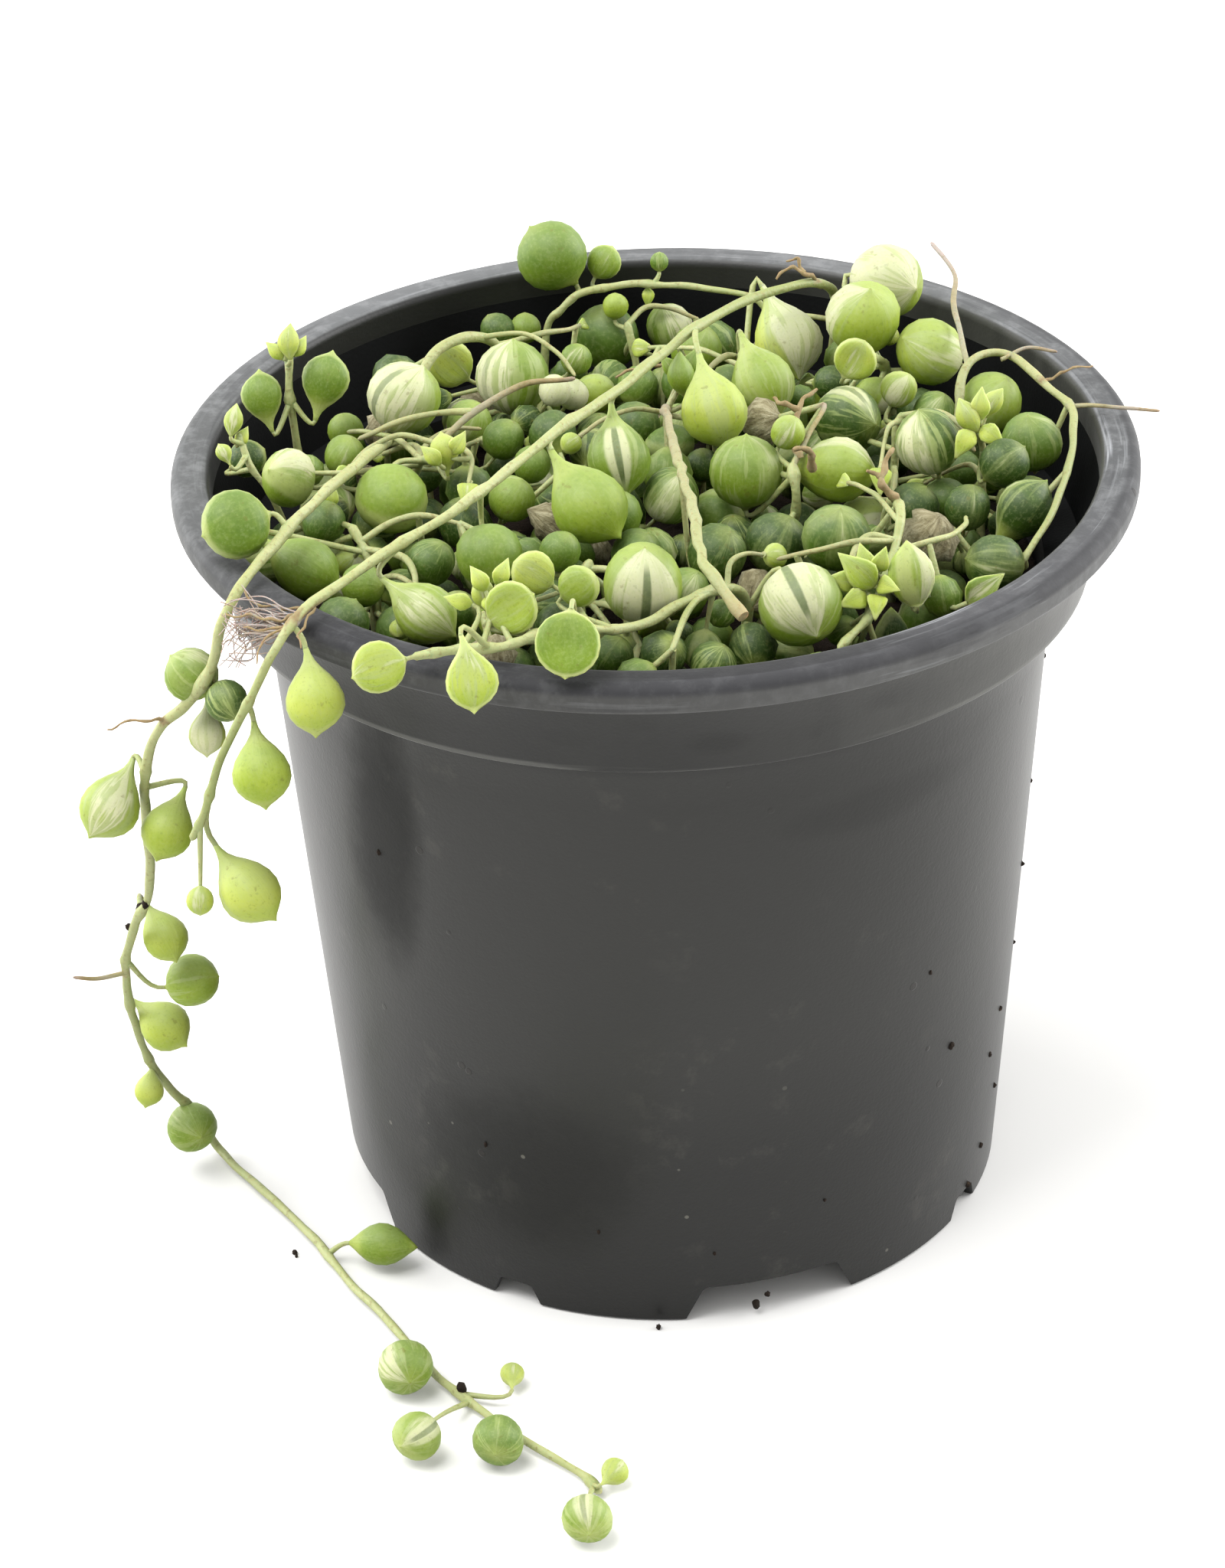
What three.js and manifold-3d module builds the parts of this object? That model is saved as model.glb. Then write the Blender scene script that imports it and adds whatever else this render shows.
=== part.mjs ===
// Potted variegated string of pearls.
// Millimetres, +Z up. The origin is the centre of the pot's base, on the surface that it stands on.
// -Y is the front and +X is to its right. Angles round the pot start at the front and turn to +X.

import * as THREE from 'three';
import { mergeVertices } from 'three/addons/utils/BufferGeometryUtils.js';
import Module from 'manifold-3d';

const wasm = await Module();
wasm.setup();

// Driving dimensions of the pot
const POT_HEIGHT = 90;
const LIP_RADIUS = 52.5;
const LIP_WIDTH = 4.3;
const LIP_DEPTH = 3.4;
const LIP_ROUNDING = 0.8;
const COLLAR_TOP_RADIUS = 49.3;
const COLLAR_FOOT_RADIUS = 47.3;
const COLLAR_HEIGHT = 13;
const BODY_TOP_RADIUS = 43.4;
const BASE_RADIUS = 37.6;
const POT_WALL = 1.1;
const CHANNEL_INNER_RADIUS = 29;
const CHANNEL_HEIGHT = 5;
const POT_SIDES = 32;

// Notches in the skirt and drain holes in the channel above it
const NOTCH_START = 15;
const WIDE_NOTCH = { foot: 20.5, top: 15.5, height: 4.7 };
const SMALL_NOTCH = { foot: 7, top: 4, height: 2.8 };
const DRAIN_RADIUS = 2.6;

// Driving dimensions of the soil
const SOIL_CENTRE_HEIGHT = 80;
const SOIL_EDGE_HEIGHT = 74;
const SOIL_SIDES = 24;
const SOIL_RINGS = 3;
const ROOT_DEPTH = 5;
const ROOT_RISE = 1.5;
const ROOT_HOLE_CLEARANCE = 0.9;
const SEAT_GAP = 0.3;

// How the leaves settle round each other: each is drawn home and pushed off its neighbours by its give
const SEED = 1939;
const SETTLE_ROUNDS = 160;
const HOLDING_SHARE = 0.7;
const LEAF_GAP = 0.45;
const SHOWN_LEAF = { hold: 0.06, give: 0.3 };
const UNDER_LEAF = { hold: 0.02, give: 1 };
const UNDER_REACH = 8;
const UNDER_RISE = 4;
const UNDER_RADIUS = [2.1, 3.1];

// How finely stems and leaves are cut
const PETIOLE_RADIUS = 0.42;
const STALK_FLARE = 1.2;
const STEM_STEP = 5.5;
const BROAD_LEAF = 3.5;

const STEM_GREEN = 0xb9c878;
const LEAF_GREEN = 0x6f9446;
const POT_BLACK = 0x2b2c2b;
const SOIL_BROWN = 0x2c2119;

// Outline of a leaf: distance along its axis from its widest place, and radius, both in leaf radii
const LEAF_FORMS = {
  round: { outline: [[-0.72, 0.7], [0, 1], [0.7, 0.72]], tip: 1.25, room: 1 },
  bead: { outline: [[-0.5, 0.88], [0.5, 0.88]], tip: 1.2, room: 1 },
  drop: { outline: [[-1.1, 0.42], [-0.45, 0.87], [0.25, 0.97], [0.85, 0.55]], tip: 1.35, room: 1 },
  long: { outline: [[-1.3, 0.4], [-0.5, 0.92], [0.5, 0.92], [1.2, 0.5]], tip: 1.9, room: 1.2 },
};

// Each strand is a stem that roots in the soil, with its leaves as x, y, z, radius, form and lead.
// The lead is how far back along the stem the leaf stalk starts. Twigs are side stems and roots.
// The under count is of the leaves that fill the strand's foot, below the ones that show.
const STRANDS = [
  {
    name: 'strand_over_front_left',
    stem: 1.7,
    route: [[20.5, 33], [22, 33.4, 90], [19.2, 27.4, 96], [11.8, 20.8, 97.4], [4.4, 11.3, 98],
      [-4.5, -2.8, 97.8], [-11.4, -11.2, 97.2], [-19.7, -22, 95.8], [-27.8, -28.7, 94],
      [-36.6, -37.4, 92], [-39.6, -41, 89.6], [-41.5, -41.5, 86.4], [-43.4, -41.5, 82.6],
      [-45.7, -41, 77.8], [-47.4, -40.4, 73.2], [-48.5, -39.8, 69.5], [-49.8, -39.4, 66.8]],
    leaves: [[6.5, 2, 93, 3.6, 'drop', 8], [-4, -6.5, 92, 3.5, 'drop', 4],
      [-7.3, -16.5, 91.5, 4, 'drop', 6], [-18, -23, 89.8, 3.4, 'round', 2],
      [-24.6, -32.7, 88.5, 3.2, 'drop', 3], [-35.6, -43.2, 85.5, 3.1, 'round', 5],
      [-41.8, -43.4, 76.5, 3, 'drop', 6], [-44.8, -41, 60.8, 3.3, 'drop', 6],
      [-48.9, -41.5, 60.4, 1.5, 'bead', 2]],
    twigs: [],
    under: 0,
  },
  {
    name: 'strand_trailing_left',
    stem: 1.6,
    route: [[-16, 27], [-16.4, 26.4, 89], [-19.8, 22.9, 93], [-24.5, 18, 92.6], [-27.6, 11, 87.2],
      [-29.5, 2, 90.4], [-36.3, -16.6, 93.3], [-40.1, -24.2, 92.5], [-43.2, -30.1, 91.5],
      [-45.2, -33.2, 89.2], [-46.4, -32.9, 85], [-48.2, -32, 80.6], [-50.4, -31, 77.4],
      [-52.8, -30.3, 75.2], [-54.3, -29.4, 72], [-55.4, -28, 67.6], [-56, -25.4, 61],
      [-56.4, -22, 52.2], [-57.4, -19.5, 46.8], [-59.2, -17.5, 42.2], [-60.7, -15, 37],
      [-61.3, -12.5, 31.8], [-61.3, -10, 25.4], [-60.4, -7.5, 18.2], [-58.6, -6, 12.8],
      [-56.2, -4.5, 8.4], [-54.6, -2.6, 3.4], [-53.4, -2.8, 1.2], [-51.2, -6.6, 1],
      [-47.7, -11.6, 1], [-41.8, -21, 1], [-37.3, -30, 1], [-32.6, -37.7, 1], [-27.5, -47.2, 1],
      [-22.3, -53.8, 1], [-18.3, -58.7, 1], [-12.3, -64.5, 1], [-10.4, -67.6, 1.1]],
    leaves: [[-27.3, 11.3, 91.5, 4, 'round', 3], [-39.4, -6, 91, 3.2, 'round', 2],
      [-44.2, -22.4, 94.2, 3.6, 'round', 3], [-49.4, -29.6, 80.6, 2.8, 'round', 2],
      [-45.6, -33.6, 79.6, 2.2, 'bead', 1], [-48.3, -29.6, 73.4, 2, 'drop', 5],
      [-59.1, -29.5, 64.8, 3.2, 'drop', 3], [-53.4, -29.4, 61.6, 2.8, 'drop', 3],
      [-56.1, -15.6, 39.4, 2.6, 'drop', 5], [-53.8, -13.6, 32.2, 3, 'round', 3],
      [-57.6, -11, 24.4, 2.8, 'drop', 3], [-60.4, -8.6, 14, 1.7, 'drop', 3],
      [-56.2, -6, 6.8, 2.9, 'round', 2], [-34, -25.4, 2.9, 2.4, 'long', 4],
      [-31, -48.2, 3.4, 3, 'round', 3], [-29.6, -59.8, 3.1, 2.7, 'round', 3],
      [-20.9, -61.1, 3.1, 2.8, 'round', 2], [-19.4, -48.1, 1.8, 1.4, 'drop', 2],
      [-11.7, -74.3, 3, 2.7, 'round', 1], [-8.6, -65.6, 1.9, 1.5, 'drop', 1]],
    twigs: [{ stem: 0.8, route: [[-61, -13.4, 33.4], [-64, -14.6, 33.6], [-66.6, -15.2, 34.2]] }],
    under: 0,
  },
  {
    name: 'strand_back_arch',
    stem: 1.2,
    route: [[-12, 36.2], [-11.3, 37.5, 86.5], [-9.6, 37.7, 89], [-7.3, 38.5, 90.5],
      [-2.7, 39.3, 91], [1.8, 39.4, 91], [7.2, 37.6, 91], [12.4, 34.8, 91], [14.6, 33.4, 89]],
    leaves: [[-10.1, 42.9, 93.4, 4, 'round', 3], [-4.6, 44.3, 91.8, 2, 'bead', 1],
      [2, 40.6, 93.2, 1.1, 'bead', 0.5]],
    twigs: [],
    under: 2,
  },
  {
    name: 'strand_right_arc',
    stem: 1.4,
    route: [[33.6, 7], [33.6, 7.6, 88], [35.2, 13.1, 92], [39.4, 15.7, 92], [43.1, 9.3, 91.3],
      [45.6, 4.3, 90.7], [45.3, -1.5, 90.3], [44.3, -7.5, 90], [41.6, -16.6, 89.3],
      [39.2, -22, 88.4], [36.6, -25.4, 86.6]],
    leaves: [[41.2, 2.2, 87.6, 3.3, 'round', 3], [38.8, -12.4, 87.6, 3.1, 'drop', 5],
      [34.6, -24.2, 87, 3.1, 'round', 2], [37.8, 12.3, 87.6, 3.5, 'round', 2]],
    twigs: [
      {
        stem: 1,
        route: [[35.2, 13.1, 92], [34.7, 18.6, 93.6], [34.4, 22.6, 94.8], [35, 28.2, 96], [33, 34.4, 97]],
      },
      { stem: 0.7, route: [[45.6, 4.3, 90.7], [48.4, 3.3, 91.2], [51.4, 2.3, 91.2], [54.6, 1.2, 91.4]] },
      { stem: 0.7, route: [[39, 14.2, 91.9], [41.8, 15.8, 92.4], [45, 15, 92.2]] },
    ],
    under: 2,
  },
  {
    name: 'shoot_left_upright',
    stem: 1.2,
    route: [[-38, 8.5], [-39.2, 7.8, 89], [-39.5, 7.6, 94], [-39.4, 8, 99.2]],
    leaves: [[-42.6, 7.2, 94.4, 2.3, 'drop', 1], [-35.6, 8.6, 95.4, 2.6, 'drop', 2],
      [-39.3, 8.1, 100.2, 1.2, 'long', 1.5]],
    twigs: [],
    under: 1,
  },
  {
    name: 'shoot_left_low',
    stem: 1,
    route: [[-38.5, -3], [-41.5, -3.6, 87.5], [-43.6, -2.8, 91], [-44.6, -1.4, 94]],
    leaves: [[-44.2, 1.2, 89.8, 2.1, 'bead', 1], [-45.2, -1.2, 95.6, 1.1, 'long', 1],
      [-46.2, -4.6, 93.6, 0.9, 'drop', 1]],
    twigs: [],
    under: 1,
  },
  {
    name: 'strand_over_front_lip',
    stem: 1.4,
    route: [[8.5, -27], [8.3, -28.6, 86.5], [5.6, -31, 89], [1.6, -34.6, 89.6], [-1.6, -37.4, 89.2],
      [-4.9, -40.2, 90], [-8, -42.4, 91.4], [-12.4, -44.4, 92], [-16.7, -46.6, 92],
      [-20.6, -46.8, 92], [-25.3, -47.6, 91.8]],
    leaves: [[-2.2, -30.9, 90, 4.2, 'round', 3], [13.9, -33.7, 88.4, 4.3, 'round', 3],
      [-10.1, -50, 93.6, 3.3, 'round', 4], [-15.6, -43.4, 94.6, 2.7, 'round', 2],
      [-13.4, -33.5, 93.2, 2.3, 'bead', 2], [-8.8, -37.6, 93.6, 2.2, 'bead', 2],
      [-19.6, -53.6, 92.2, 2.6, 'drop', 2], [-29, -49.2, 91.7, 2.7, 'round', 2],
      [-18.4, -40, 94.4, 1.2, 'long', 2]],
    twigs: [],
    under: 1,
  },
  {
    name: 'stub_cut_dry',
    stem: 1.7,
    route: [[1.5, 10], [1.6, 8.6, 89], [1.3, -0.6, 94.6], [1.9, -12.6, 95.8], [3, -24, 96],
      [3.8, -34.4, 94.8], [5.5, -38.6, 93.4], [7.6, -42, 91.8]],
    leaves: [[3.4, 7.6, 94.6, 1.6, 'long', 2], [7.4, -19, 87, 3.2, 'round', 3]],
    twigs: [],
    under: 2,
  },
  {
    name: 'sprig_back_right',
    stem: 1.5,
    route: [[27, 23], [27.4, 22.4, 84], [26.4, 19.4, 89.4], [24.6, 15.6, 92.2]],
    leaves: [[27.6, 31.4, 94, 4.2, 'round', 1], [24.4, 23, 93.4, 4.2, 'round', 1],
      [32, 20, 91, 3.8, 'round', 1], [22.6, 10.6, 94, 2.4, 'bead', 1], [20.4, 19, 87.4, 2, 'bead', 1]],
    twigs: [],
    under: 4,
  },
  {
    name: 'sprig_back_centre',
    stem: 1.4,
    route: [[10.5, 24], [10.6, 22.4, 85], [10.4, 19, 90.6], [10.2, 15.4, 93]],
    leaves: [[12.4, 12.2, 91, 3.6, 'drop', 2], [16, 26, 89.4, 3.9, 'drop', 2],
      [5.8, 31, 86.4, 3, 'round', 1], [4, 22, 86.6, 2.6, 'round', 1]],
    twigs: [],
    under: 4,
  },
  {
    name: 'sprig_right_centre',
    stem: 1.3,
    route: [[26, 2.6], [26.2, 2.6, 84], [26.4, 2.4, 88.6], [27, 3, 91]],
    leaves: [[21.6, 7.8, 88.8, 3.7, 'round', 1], [27.4, 10.8, 90.4, 2.1, 'bead', 1],
      [31.4, 10.4, 87.6, 2.4, 'bead', 1], [29.4, -3.4, 91, 3.6, 'round', 1],
      [27.6, -8.4, 85.6, 2.8, 'round', 1]],
    twigs: [],
    under: 3,
  },
  {
    name: 'sprig_right_edge',
    stem: 1.2,
    route: [[35, -5], [35.2, -4.4, 84], [35.4, -3.4, 89], [34.8, -4, 92.6]],
    leaves: [[33.6, -4.6, 94.4, 1.3, 'long', 1], [36.4, -2.2, 94.8, 1.1, 'long', 1],
      [37.4, -7.8, 90, 2.7, 'round', 1], [33, -11.6, 87.2, 2.5, 'round', 1],
      [40.4, -4, 84, 2.5, 'round', 1]],
    twigs: [],
    under: 3,
  },
  {
    name: 'sprig_centre',
    stem: 1.4,
    route: [[14.4, -8], [14.6, -9, 84], [14.8, -9.6, 88.6], [14.6, -8, 91]],
    leaves: [[9.9, -5.4, 89.4, 3.9, 'round', 1], [14, -5.2, 93.4, 1.9, 'bead', 0],
      [19.6, -6, 89.2, 3.7, 'drop', 1], [11, -17.6, 86.4, 3.3, 'round', 1]],
    twigs: [{ stem: 0.8, route: [[14.6, -8, 91], [16.6, -4.4, 93.2], [18.2, -0.6, 93.8],
      [18.6, 2.4, 93]] }],
    under: 4,
  },
  {
    name: 'sprig_front_right',
    stem: 1.5,
    route: [[24.5, -13], [24.2, -12.6, 87], [24.8, -17.6, 91.4], [25, -22, 92], [24, -26.6, 90.4],
      [21.4, -33.4, 87.4], [17.6, -38.6, 86]],
    leaves: [[18.3, -21, 89.2, 3.6, 'round', 2], [28.4, -18.4, 87.6, 2.9, 'round', 1],
      [26.4, -31.4, 90, 2.9, 'long', 2], [20.4, -32.6, 91, 2.1, 'drop', 2],
      [32.6, -30.6, 87.4, 1.7, 'drop', 1], [15.4, -40.4, 83.6, 2.6, 'round', 1]],
    twigs: [],
    under: 4,
  },
  {
    name: 'sprig_back_left',
    stem: 1.3,
    route: [[-12, 26], [-12.2, 26.6, 83], [-12.6, 27.6, 86], [-13.4, 29, 88]],
    leaves: [[-15.2, 20, 89, 4.1, 'round', 1], [-17, 38, 86.6, 2, 'bead', 2],
      [-13.8, 41.4, 85, 1.8, 'bead', 2], [-8, 27.6, 87.4, 1.8, 'bead', 1],
      [-10.6, 15.8, 89.4, 1.8, 'bead', 2], [-22.4, 27.4, 87.6, 2.8, 'round', 1],
      [-8.6, 19.4, 87, 1.8, 'bead', 1]],
    twigs: [],
    under: 4,
  },
  {
    name: 'sprig_back_wall',
    stem: 1.2,
    route: [[-1, 33.5], [-1, 34, 81.6], [-1.4, 34.6, 85], [-2, 35.6, 87.6]],
    leaves: [[-4.4, 39.4, 84, 3.8, 'round', 1], [-3.4, 37.6, 89.2, 1.5, 'bead', 0],
      [3, 41, 84.6, 2.8, 'round', 1]],
    twigs: [],
    under: 3,
  },
  {
    name: 'sprig_left',
    stem: 1.3,
    route: [[-27, 3], [-26.8, 2.6, 84], [-25.6, 0.6, 88.6], [-23.6, -2.2, 90.6]],
    leaves: [[-28.7, -7.8, 89.2, 4, 'round', 2], [-22.6, -3.6, 92.4, 1.6, 'drop', 0],
      [-34, 13, 86.8, 2, 'bead', 2], [-33.8, 5.4, 87.6, 2.3, 'bead', 1],
      [-20.2, 13.4, 87, 2.6, 'round', 1], [-16.4, 6.4, 88.4, 2.3, 'bead', 1]],
    twigs: [{ stem: 1, route: [[-25.6, 0.6, 88.6], [-21, 3.4, 92], [-14.4, 8.6, 93.6],
      [-8.6, 11, 93.2]] }],
    under: 4,
  },
  {
    name: 'sprig_front_left',
    stem: 1.3,
    route: [[-30.5, -18], [-30.4, -17.6, 83], [-31, -16.4, 86.6], [-32.6, -14.2, 89]],
    leaves: [[-35.6, -12, 88.6, 2.4, 'bead', 1], [-37.4, -18.6, 86.6, 3.4, 'drop', 1],
      [-31.4, -22.6, 86.6, 2.3, 'bead', 1], [-24.4, -18, 86.4, 2.6, 'round', 1],
      [-33.4, -28.6, 85.4, 2.8, 'round', 1]],
    twigs: [],
    under: 4,
  },
  {
    name: 'sprig_middle',
    stem: 1.3,
    route: [[-9, -1.5], [-9, -1.6, 83], [-9.2, -1.6, 87], [-10.4, -3, 89.6]],
    leaves: [[-13.2, 1, 87.6, 2.1, 'bead', 1], [-15.6, -6, 87.4, 2.5, 'round', 1],
      [-11, -10.6, 86.6, 2.3, 'long', 1], [1.6, -6.6, 87.4, 3.1, 'round', 1],
      [-1.6, 12, 86.6, 2.7, 'round', 1], [-4, 3.4, 87.4, 3, 'round', 1]],
    twigs: [],
    under: 5,
  },
  {
    name: 'sprig_front',
    stem: 1.2,
    route: [[-8.5, -24], [-8.6, -24.2, 83.4], [-8.4, -25, 86.6], [-7.6, -24.4, 89]],
    leaves: [[-10.6, -22.4, 89.6, 2.2, 'bead', 0], [-2.6, -17.6, 86.4, 2.8, 'round', 1],
      [-16.6, -30.4, 86.6, 2.8, 'round', 1], [-6, -35, 84, 2.4, 'bead', 1],
      [4.6, -37.6, 84, 2.4, 'bead', 1], [2.4, -24.4, 85.4, 2.6, 'round', 1]],
    twigs: [],
    under: 5,
  },
];

const vector = ([x, y, z]) => new THREE.Vector3(x, y, z);

// Height of the domed soil surface at a distance from the pot's axis
function soilHeight(distance) {
  const share = distance / BODY_TOP_RADIUS;
  return SOIL_CENTRE_HEIGHT - (SOIL_CENTRE_HEIGHT - SOIL_EDGE_HEIGHT) * share * share;
}

// Numbers from 0 to 1 that are the same on every run
function seededRandom(seed) {
  let state = seed;
  return () => {
    state = (Math.imul(state, 1664525) + 1013904223) >>> 0;
    return state / 4294967296;
  };
}

// A strand's route with its foot set into the soil and standing up out of it
function rootedRoute(strand) {
  const [x, y] = strand.route[0];
  const surface = soilHeight(Math.hypot(x, y));
  const foot = [[x, y, surface - ROOT_DEPTH + SEAT_GAP], [x, y, surface + ROOT_RISE]];
  return foot.concat(strand.route.slice(1));
}

const stemCurve = (route) => new THREE.CatmullRomCurve3(route.map(vector), false, 'catmullrom', 0.5);

// Rows of the pot's outline that leaves can touch: up the outside from the foot and down the inside
const FACING_ROWS = [5, 18];

// Outline of the pot, from the centre of its base round the outside to the centre of its floor
function potOutline() {
  const collarFoot = POT_HEIGHT - COLLAR_HEIGHT;
  const lipInner = LIP_RADIUS - LIP_WIDTH;
  const channelOuter = BASE_RADIUS - POT_WALL;
  return [
    [0, 0],
    [CHANNEL_INNER_RADIUS, 0],
    [CHANNEL_INNER_RADIUS + 1, CHANNEL_HEIGHT],
    [channelOuter, CHANNEL_HEIGHT],
    [channelOuter, 0],
    [BASE_RADIUS, 0],
    [BODY_TOP_RADIUS, collarFoot - 1],
    [COLLAR_FOOT_RADIUS, collarFoot],
    [COLLAR_TOP_RADIUS, POT_HEIGHT - LIP_DEPTH + 0.2],
    [LIP_RADIUS - LIP_ROUNDING, POT_HEIGHT - LIP_DEPTH],
    [LIP_RADIUS, POT_HEIGHT - LIP_DEPTH + LIP_ROUNDING],
    [LIP_RADIUS, POT_HEIGHT - LIP_ROUNDING],
    [LIP_RADIUS - LIP_ROUNDING, POT_HEIGHT],
    [lipInner + LIP_ROUNDING, POT_HEIGHT],
    [lipInner, POT_HEIGHT - LIP_ROUNDING],
    [lipInner - 0.1, POT_HEIGHT - LIP_DEPTH],
    [COLLAR_FOOT_RADIUS - POT_WALL, collarFoot + 1],
    [BODY_TOP_RADIUS - POT_WALL, collarFoot - 0.2],
    [channelOuter + 0.4, CHANNEL_HEIGHT + POT_WALL],
    [CHANNEL_INNER_RADIUS - 0.2, CHANNEL_HEIGHT + POT_WALL],
    [CHANNEL_INNER_RADIUS - 1.2, POT_WALL],
    [0, POT_WALL],
  ];
}

// Stems and leaves of every strand, before the leaves have settled
function plantPlan() {
  const random = seededRandom(SEED);
  const stems = [];
  const leaves = [];
  STRANDS.forEach((strand, index) => {
    const routes = [{ stem: strand.stem, route: rootedRoute(strand) }, ...strand.twigs];
    for (const { stem, route } of routes) {
      const curve = stemCurve(route);
      const points = curve.getPoints(4 * (route.length - 1));
      const steps = Math.ceil(curve.getLength() / STEM_STEP);
      stems.push({ strand: index, radius: stem / 2, points, curve, steps });
    }
    const main = stems[stems.length - routes.length];
    for (const [x, y, z, radius, form, lead] of strand.leaves) {
      leaves.push({ strand: index, main, home: vector([x, y, z]), radius, form, lead, ...SHOWN_LEAF });
    }
    const [rootX, rootY] = strand.route[0];
    for (let count = 0; count < strand.under; count += 1) {
      const turn = 2 * Math.PI * random();
      const reach = UNDER_REACH * Math.sqrt(random());
      const radius = UNDER_RADIUS[0] + (UNDER_RADIUS[1] - UNDER_RADIUS[0]) * random();
      const x = rootX + reach * Math.cos(turn);
      const y = rootY + reach * Math.sin(turn);
      const z = soilHeight(Math.hypot(x, y)) + radius + LEAF_GAP + UNDER_RISE * random();
      const home = vector([x, y, z]);
      leaves.push({ strand: index, main, home, radius, form: 'bead', lead: 1, ...UNDER_LEAF });
    }
  });
  for (const leaf of leaves) {
    leaf.centre = leaf.home.clone();
    leaf.room = leaf.radius * LEAF_FORMS[leaf.form].room;
    leaf.start = leaf.centre.clone();
  }
  return { stems, leaves };
}

// Nearest point to a place on the piece of line from one point to another
function nearestOnPiece(place, from, to) {
  const along = to.clone().sub(from);
  const share = THREE.MathUtils.clamp(place.clone().sub(from).dot(along) / along.lengthSq(), 0, 1);
  return from.clone().addScaledVector(along, share);
}

// Where a leaf's stalk leaves its stem: the nearest point, then back along the stem by the lead
function findStart(leaf) {
  const points = leaf.main.points;
  let best = Infinity;
  let travelled = 0;
  let distance = 0;
  for (let index = 1; index < points.length; index += 1) {
    const near = nearestOnPiece(leaf.centre, points[index - 1], points[index]);
    const gap = near.distanceTo(leaf.centre);
    if (gap < best) {
      best = gap;
      distance = travelled + near.distanceTo(points[index - 1]);
    }
    travelled += points[index].distanceTo(points[index - 1]);
  }
  const lowest = ROOT_DEPTH + ROOT_RISE;
  let left = THREE.MathUtils.clamp(distance - leaf.lead, lowest, travelled - PETIOLE_RADIUS);
  for (let index = 1; index < points.length; index += 1) {
    const length = points[index].distanceTo(points[index - 1]);
    if (left <= length || index === points.length - 1) {
      leaf.start.lerpVectors(points[index - 1], points[index], left / length);
      return;
    }
    left -= length;
  }
}

// Moves two leaves apart, each by its own give, until they clear each other
function partLeaves(first, second) {
  const need = first.room + second.room + LEAF_GAP;
  const away = second.centre.clone().sub(first.centre);
  const distance = away.length();
  if (distance >= need) return;
  away.multiplyScalar((need - distance) / (distance * (first.give + second.give)));
  first.centre.addScaledVector(away, -first.give);
  second.centre.addScaledVector(away, second.give);
}

// Moves a leaf off a round bar that belongs to another strand, and the bar's own leaf the other way
function partFromBar(leaf, from, to, barRadius, owner) {
  const near = nearestOnPiece(leaf.centre, from, to);
  const away = leaf.centre.clone().sub(near);
  const distance = Math.max(away.length(), 0.01);
  const need = leaf.room + barRadius + LEAF_GAP;
  if (distance >= need) return;
  away.multiplyScalar((need - distance) / distance);
  const share = owner ? leaf.give / (leaf.give + owner.give) : 1;
  leaf.centre.addScaledVector(away, share);
  if (owner) owner.centre.addScaledVector(away, share - 1);
}

// Keeps a leaf above the soil and off the pot, inside it or outside
function partFromPot(leaf, outline) {
  const distance = Math.hypot(leaf.centre.x, leaf.centre.y);
  const lowest = soilHeight(distance) + leaf.room + SEAT_GAP;
  const indoors = distance < BODY_TOP_RADIUS && leaf.home.z > SOIL_EDGE_HEIGHT;
  if (indoors && leaf.centre.z < lowest) leaf.centre.z = lowest;
  const place = new THREE.Vector3(distance, 0, leaf.centre.z);
  for (let index = 1; index < outline.length; index += 1) {
    const near = nearestOnPiece(place, outline[index - 1], outline[index]);
    const away = place.clone().sub(near);
    const need = leaf.room + 2 * SEAT_GAP;
    if (away.length() < need) place.addScaledVector(away, need / away.length() - 1);
  }
  leaf.centre.x *= place.x / distance;
  leaf.centre.y *= place.x / distance;
  leaf.centre.z = Math.max(place.z, leaf.room + SEAT_GAP);
}

// Lets the leaves move apart until none touches a leaf, stalk or stem of another strand
function settle({ stems, leaves }) {
  const outline = potOutline().slice(...FACING_ROWS).map(([x, z]) => new THREE.Vector3(x, 0, z));
  for (let round = 0; round < SETTLE_ROUNDS; round += 1) {
    const holding = round < HOLDING_SHARE * SETTLE_ROUNDS;
    for (const leaf of leaves) {
      if (holding) leaf.centre.lerp(leaf.home, leaf.hold);
      findStart(leaf);
    }
    leaves.forEach((leaf, index) => {
      for (const other of leaves.slice(index + 1)) {
        if (leaf.centre.distanceTo(other.centre) < leaf.room + other.room + 1) partLeaves(leaf, other);
      }
      for (const other of leaves) {
        if (other.strand === leaf.strand) continue;
        partFromBar(leaf, other.start, other.centre, PETIOLE_RADIUS, other);
      }
      for (const stem of stems) {
        if (stem.strand === leaf.strand) continue;
        for (let piece = 1; piece < stem.points.length; piece += 1) {
          partFromBar(leaf, stem.points[piece - 1], stem.points[piece], stem.radius, null);
        }
      }
      partFromPot(leaf, outline);
    });
  }
  leaves.forEach(findStart);
}

// A three.js geometry as a solid that can be joined and cut
function solidFrom(geometry) {
  const bare = geometry.clone();
  bare.deleteAttribute('normal');
  bare.deleteAttribute('uv');
  const merged = mergeVertices(bare, 1e-4);
  const mesh = new wasm.Mesh({
    numProp: 3,
    vertProperties: new Float32Array(merged.attributes.position.array),
    triVerts: new Uint32Array(merged.index.array),
  });
  return new wasm.Manifold(mesh);
}

// A joined or cut solid as a three.js geometry
function geometryFrom(solid) {
  const mesh = solid.getMesh();
  const geometry = new THREE.BufferGeometry();
  geometry.setAttribute('position', new THREE.BufferAttribute(new Float32Array(mesh.vertProperties), 3));
  geometry.setIndex(new THREE.BufferAttribute(new Uint32Array(mesh.triVerts), 1));
  geometry.computeVertexNormals();
  return geometry;
}

// A turned solid about +Z from an outline of radius and height
function turned(outline, sides) {
  const points = outline.map(([radius, height]) => new THREE.Vector2(radius, height));
  return new THREE.LatheGeometry(points, sides).rotateX(Math.PI / 2);
}

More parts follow.
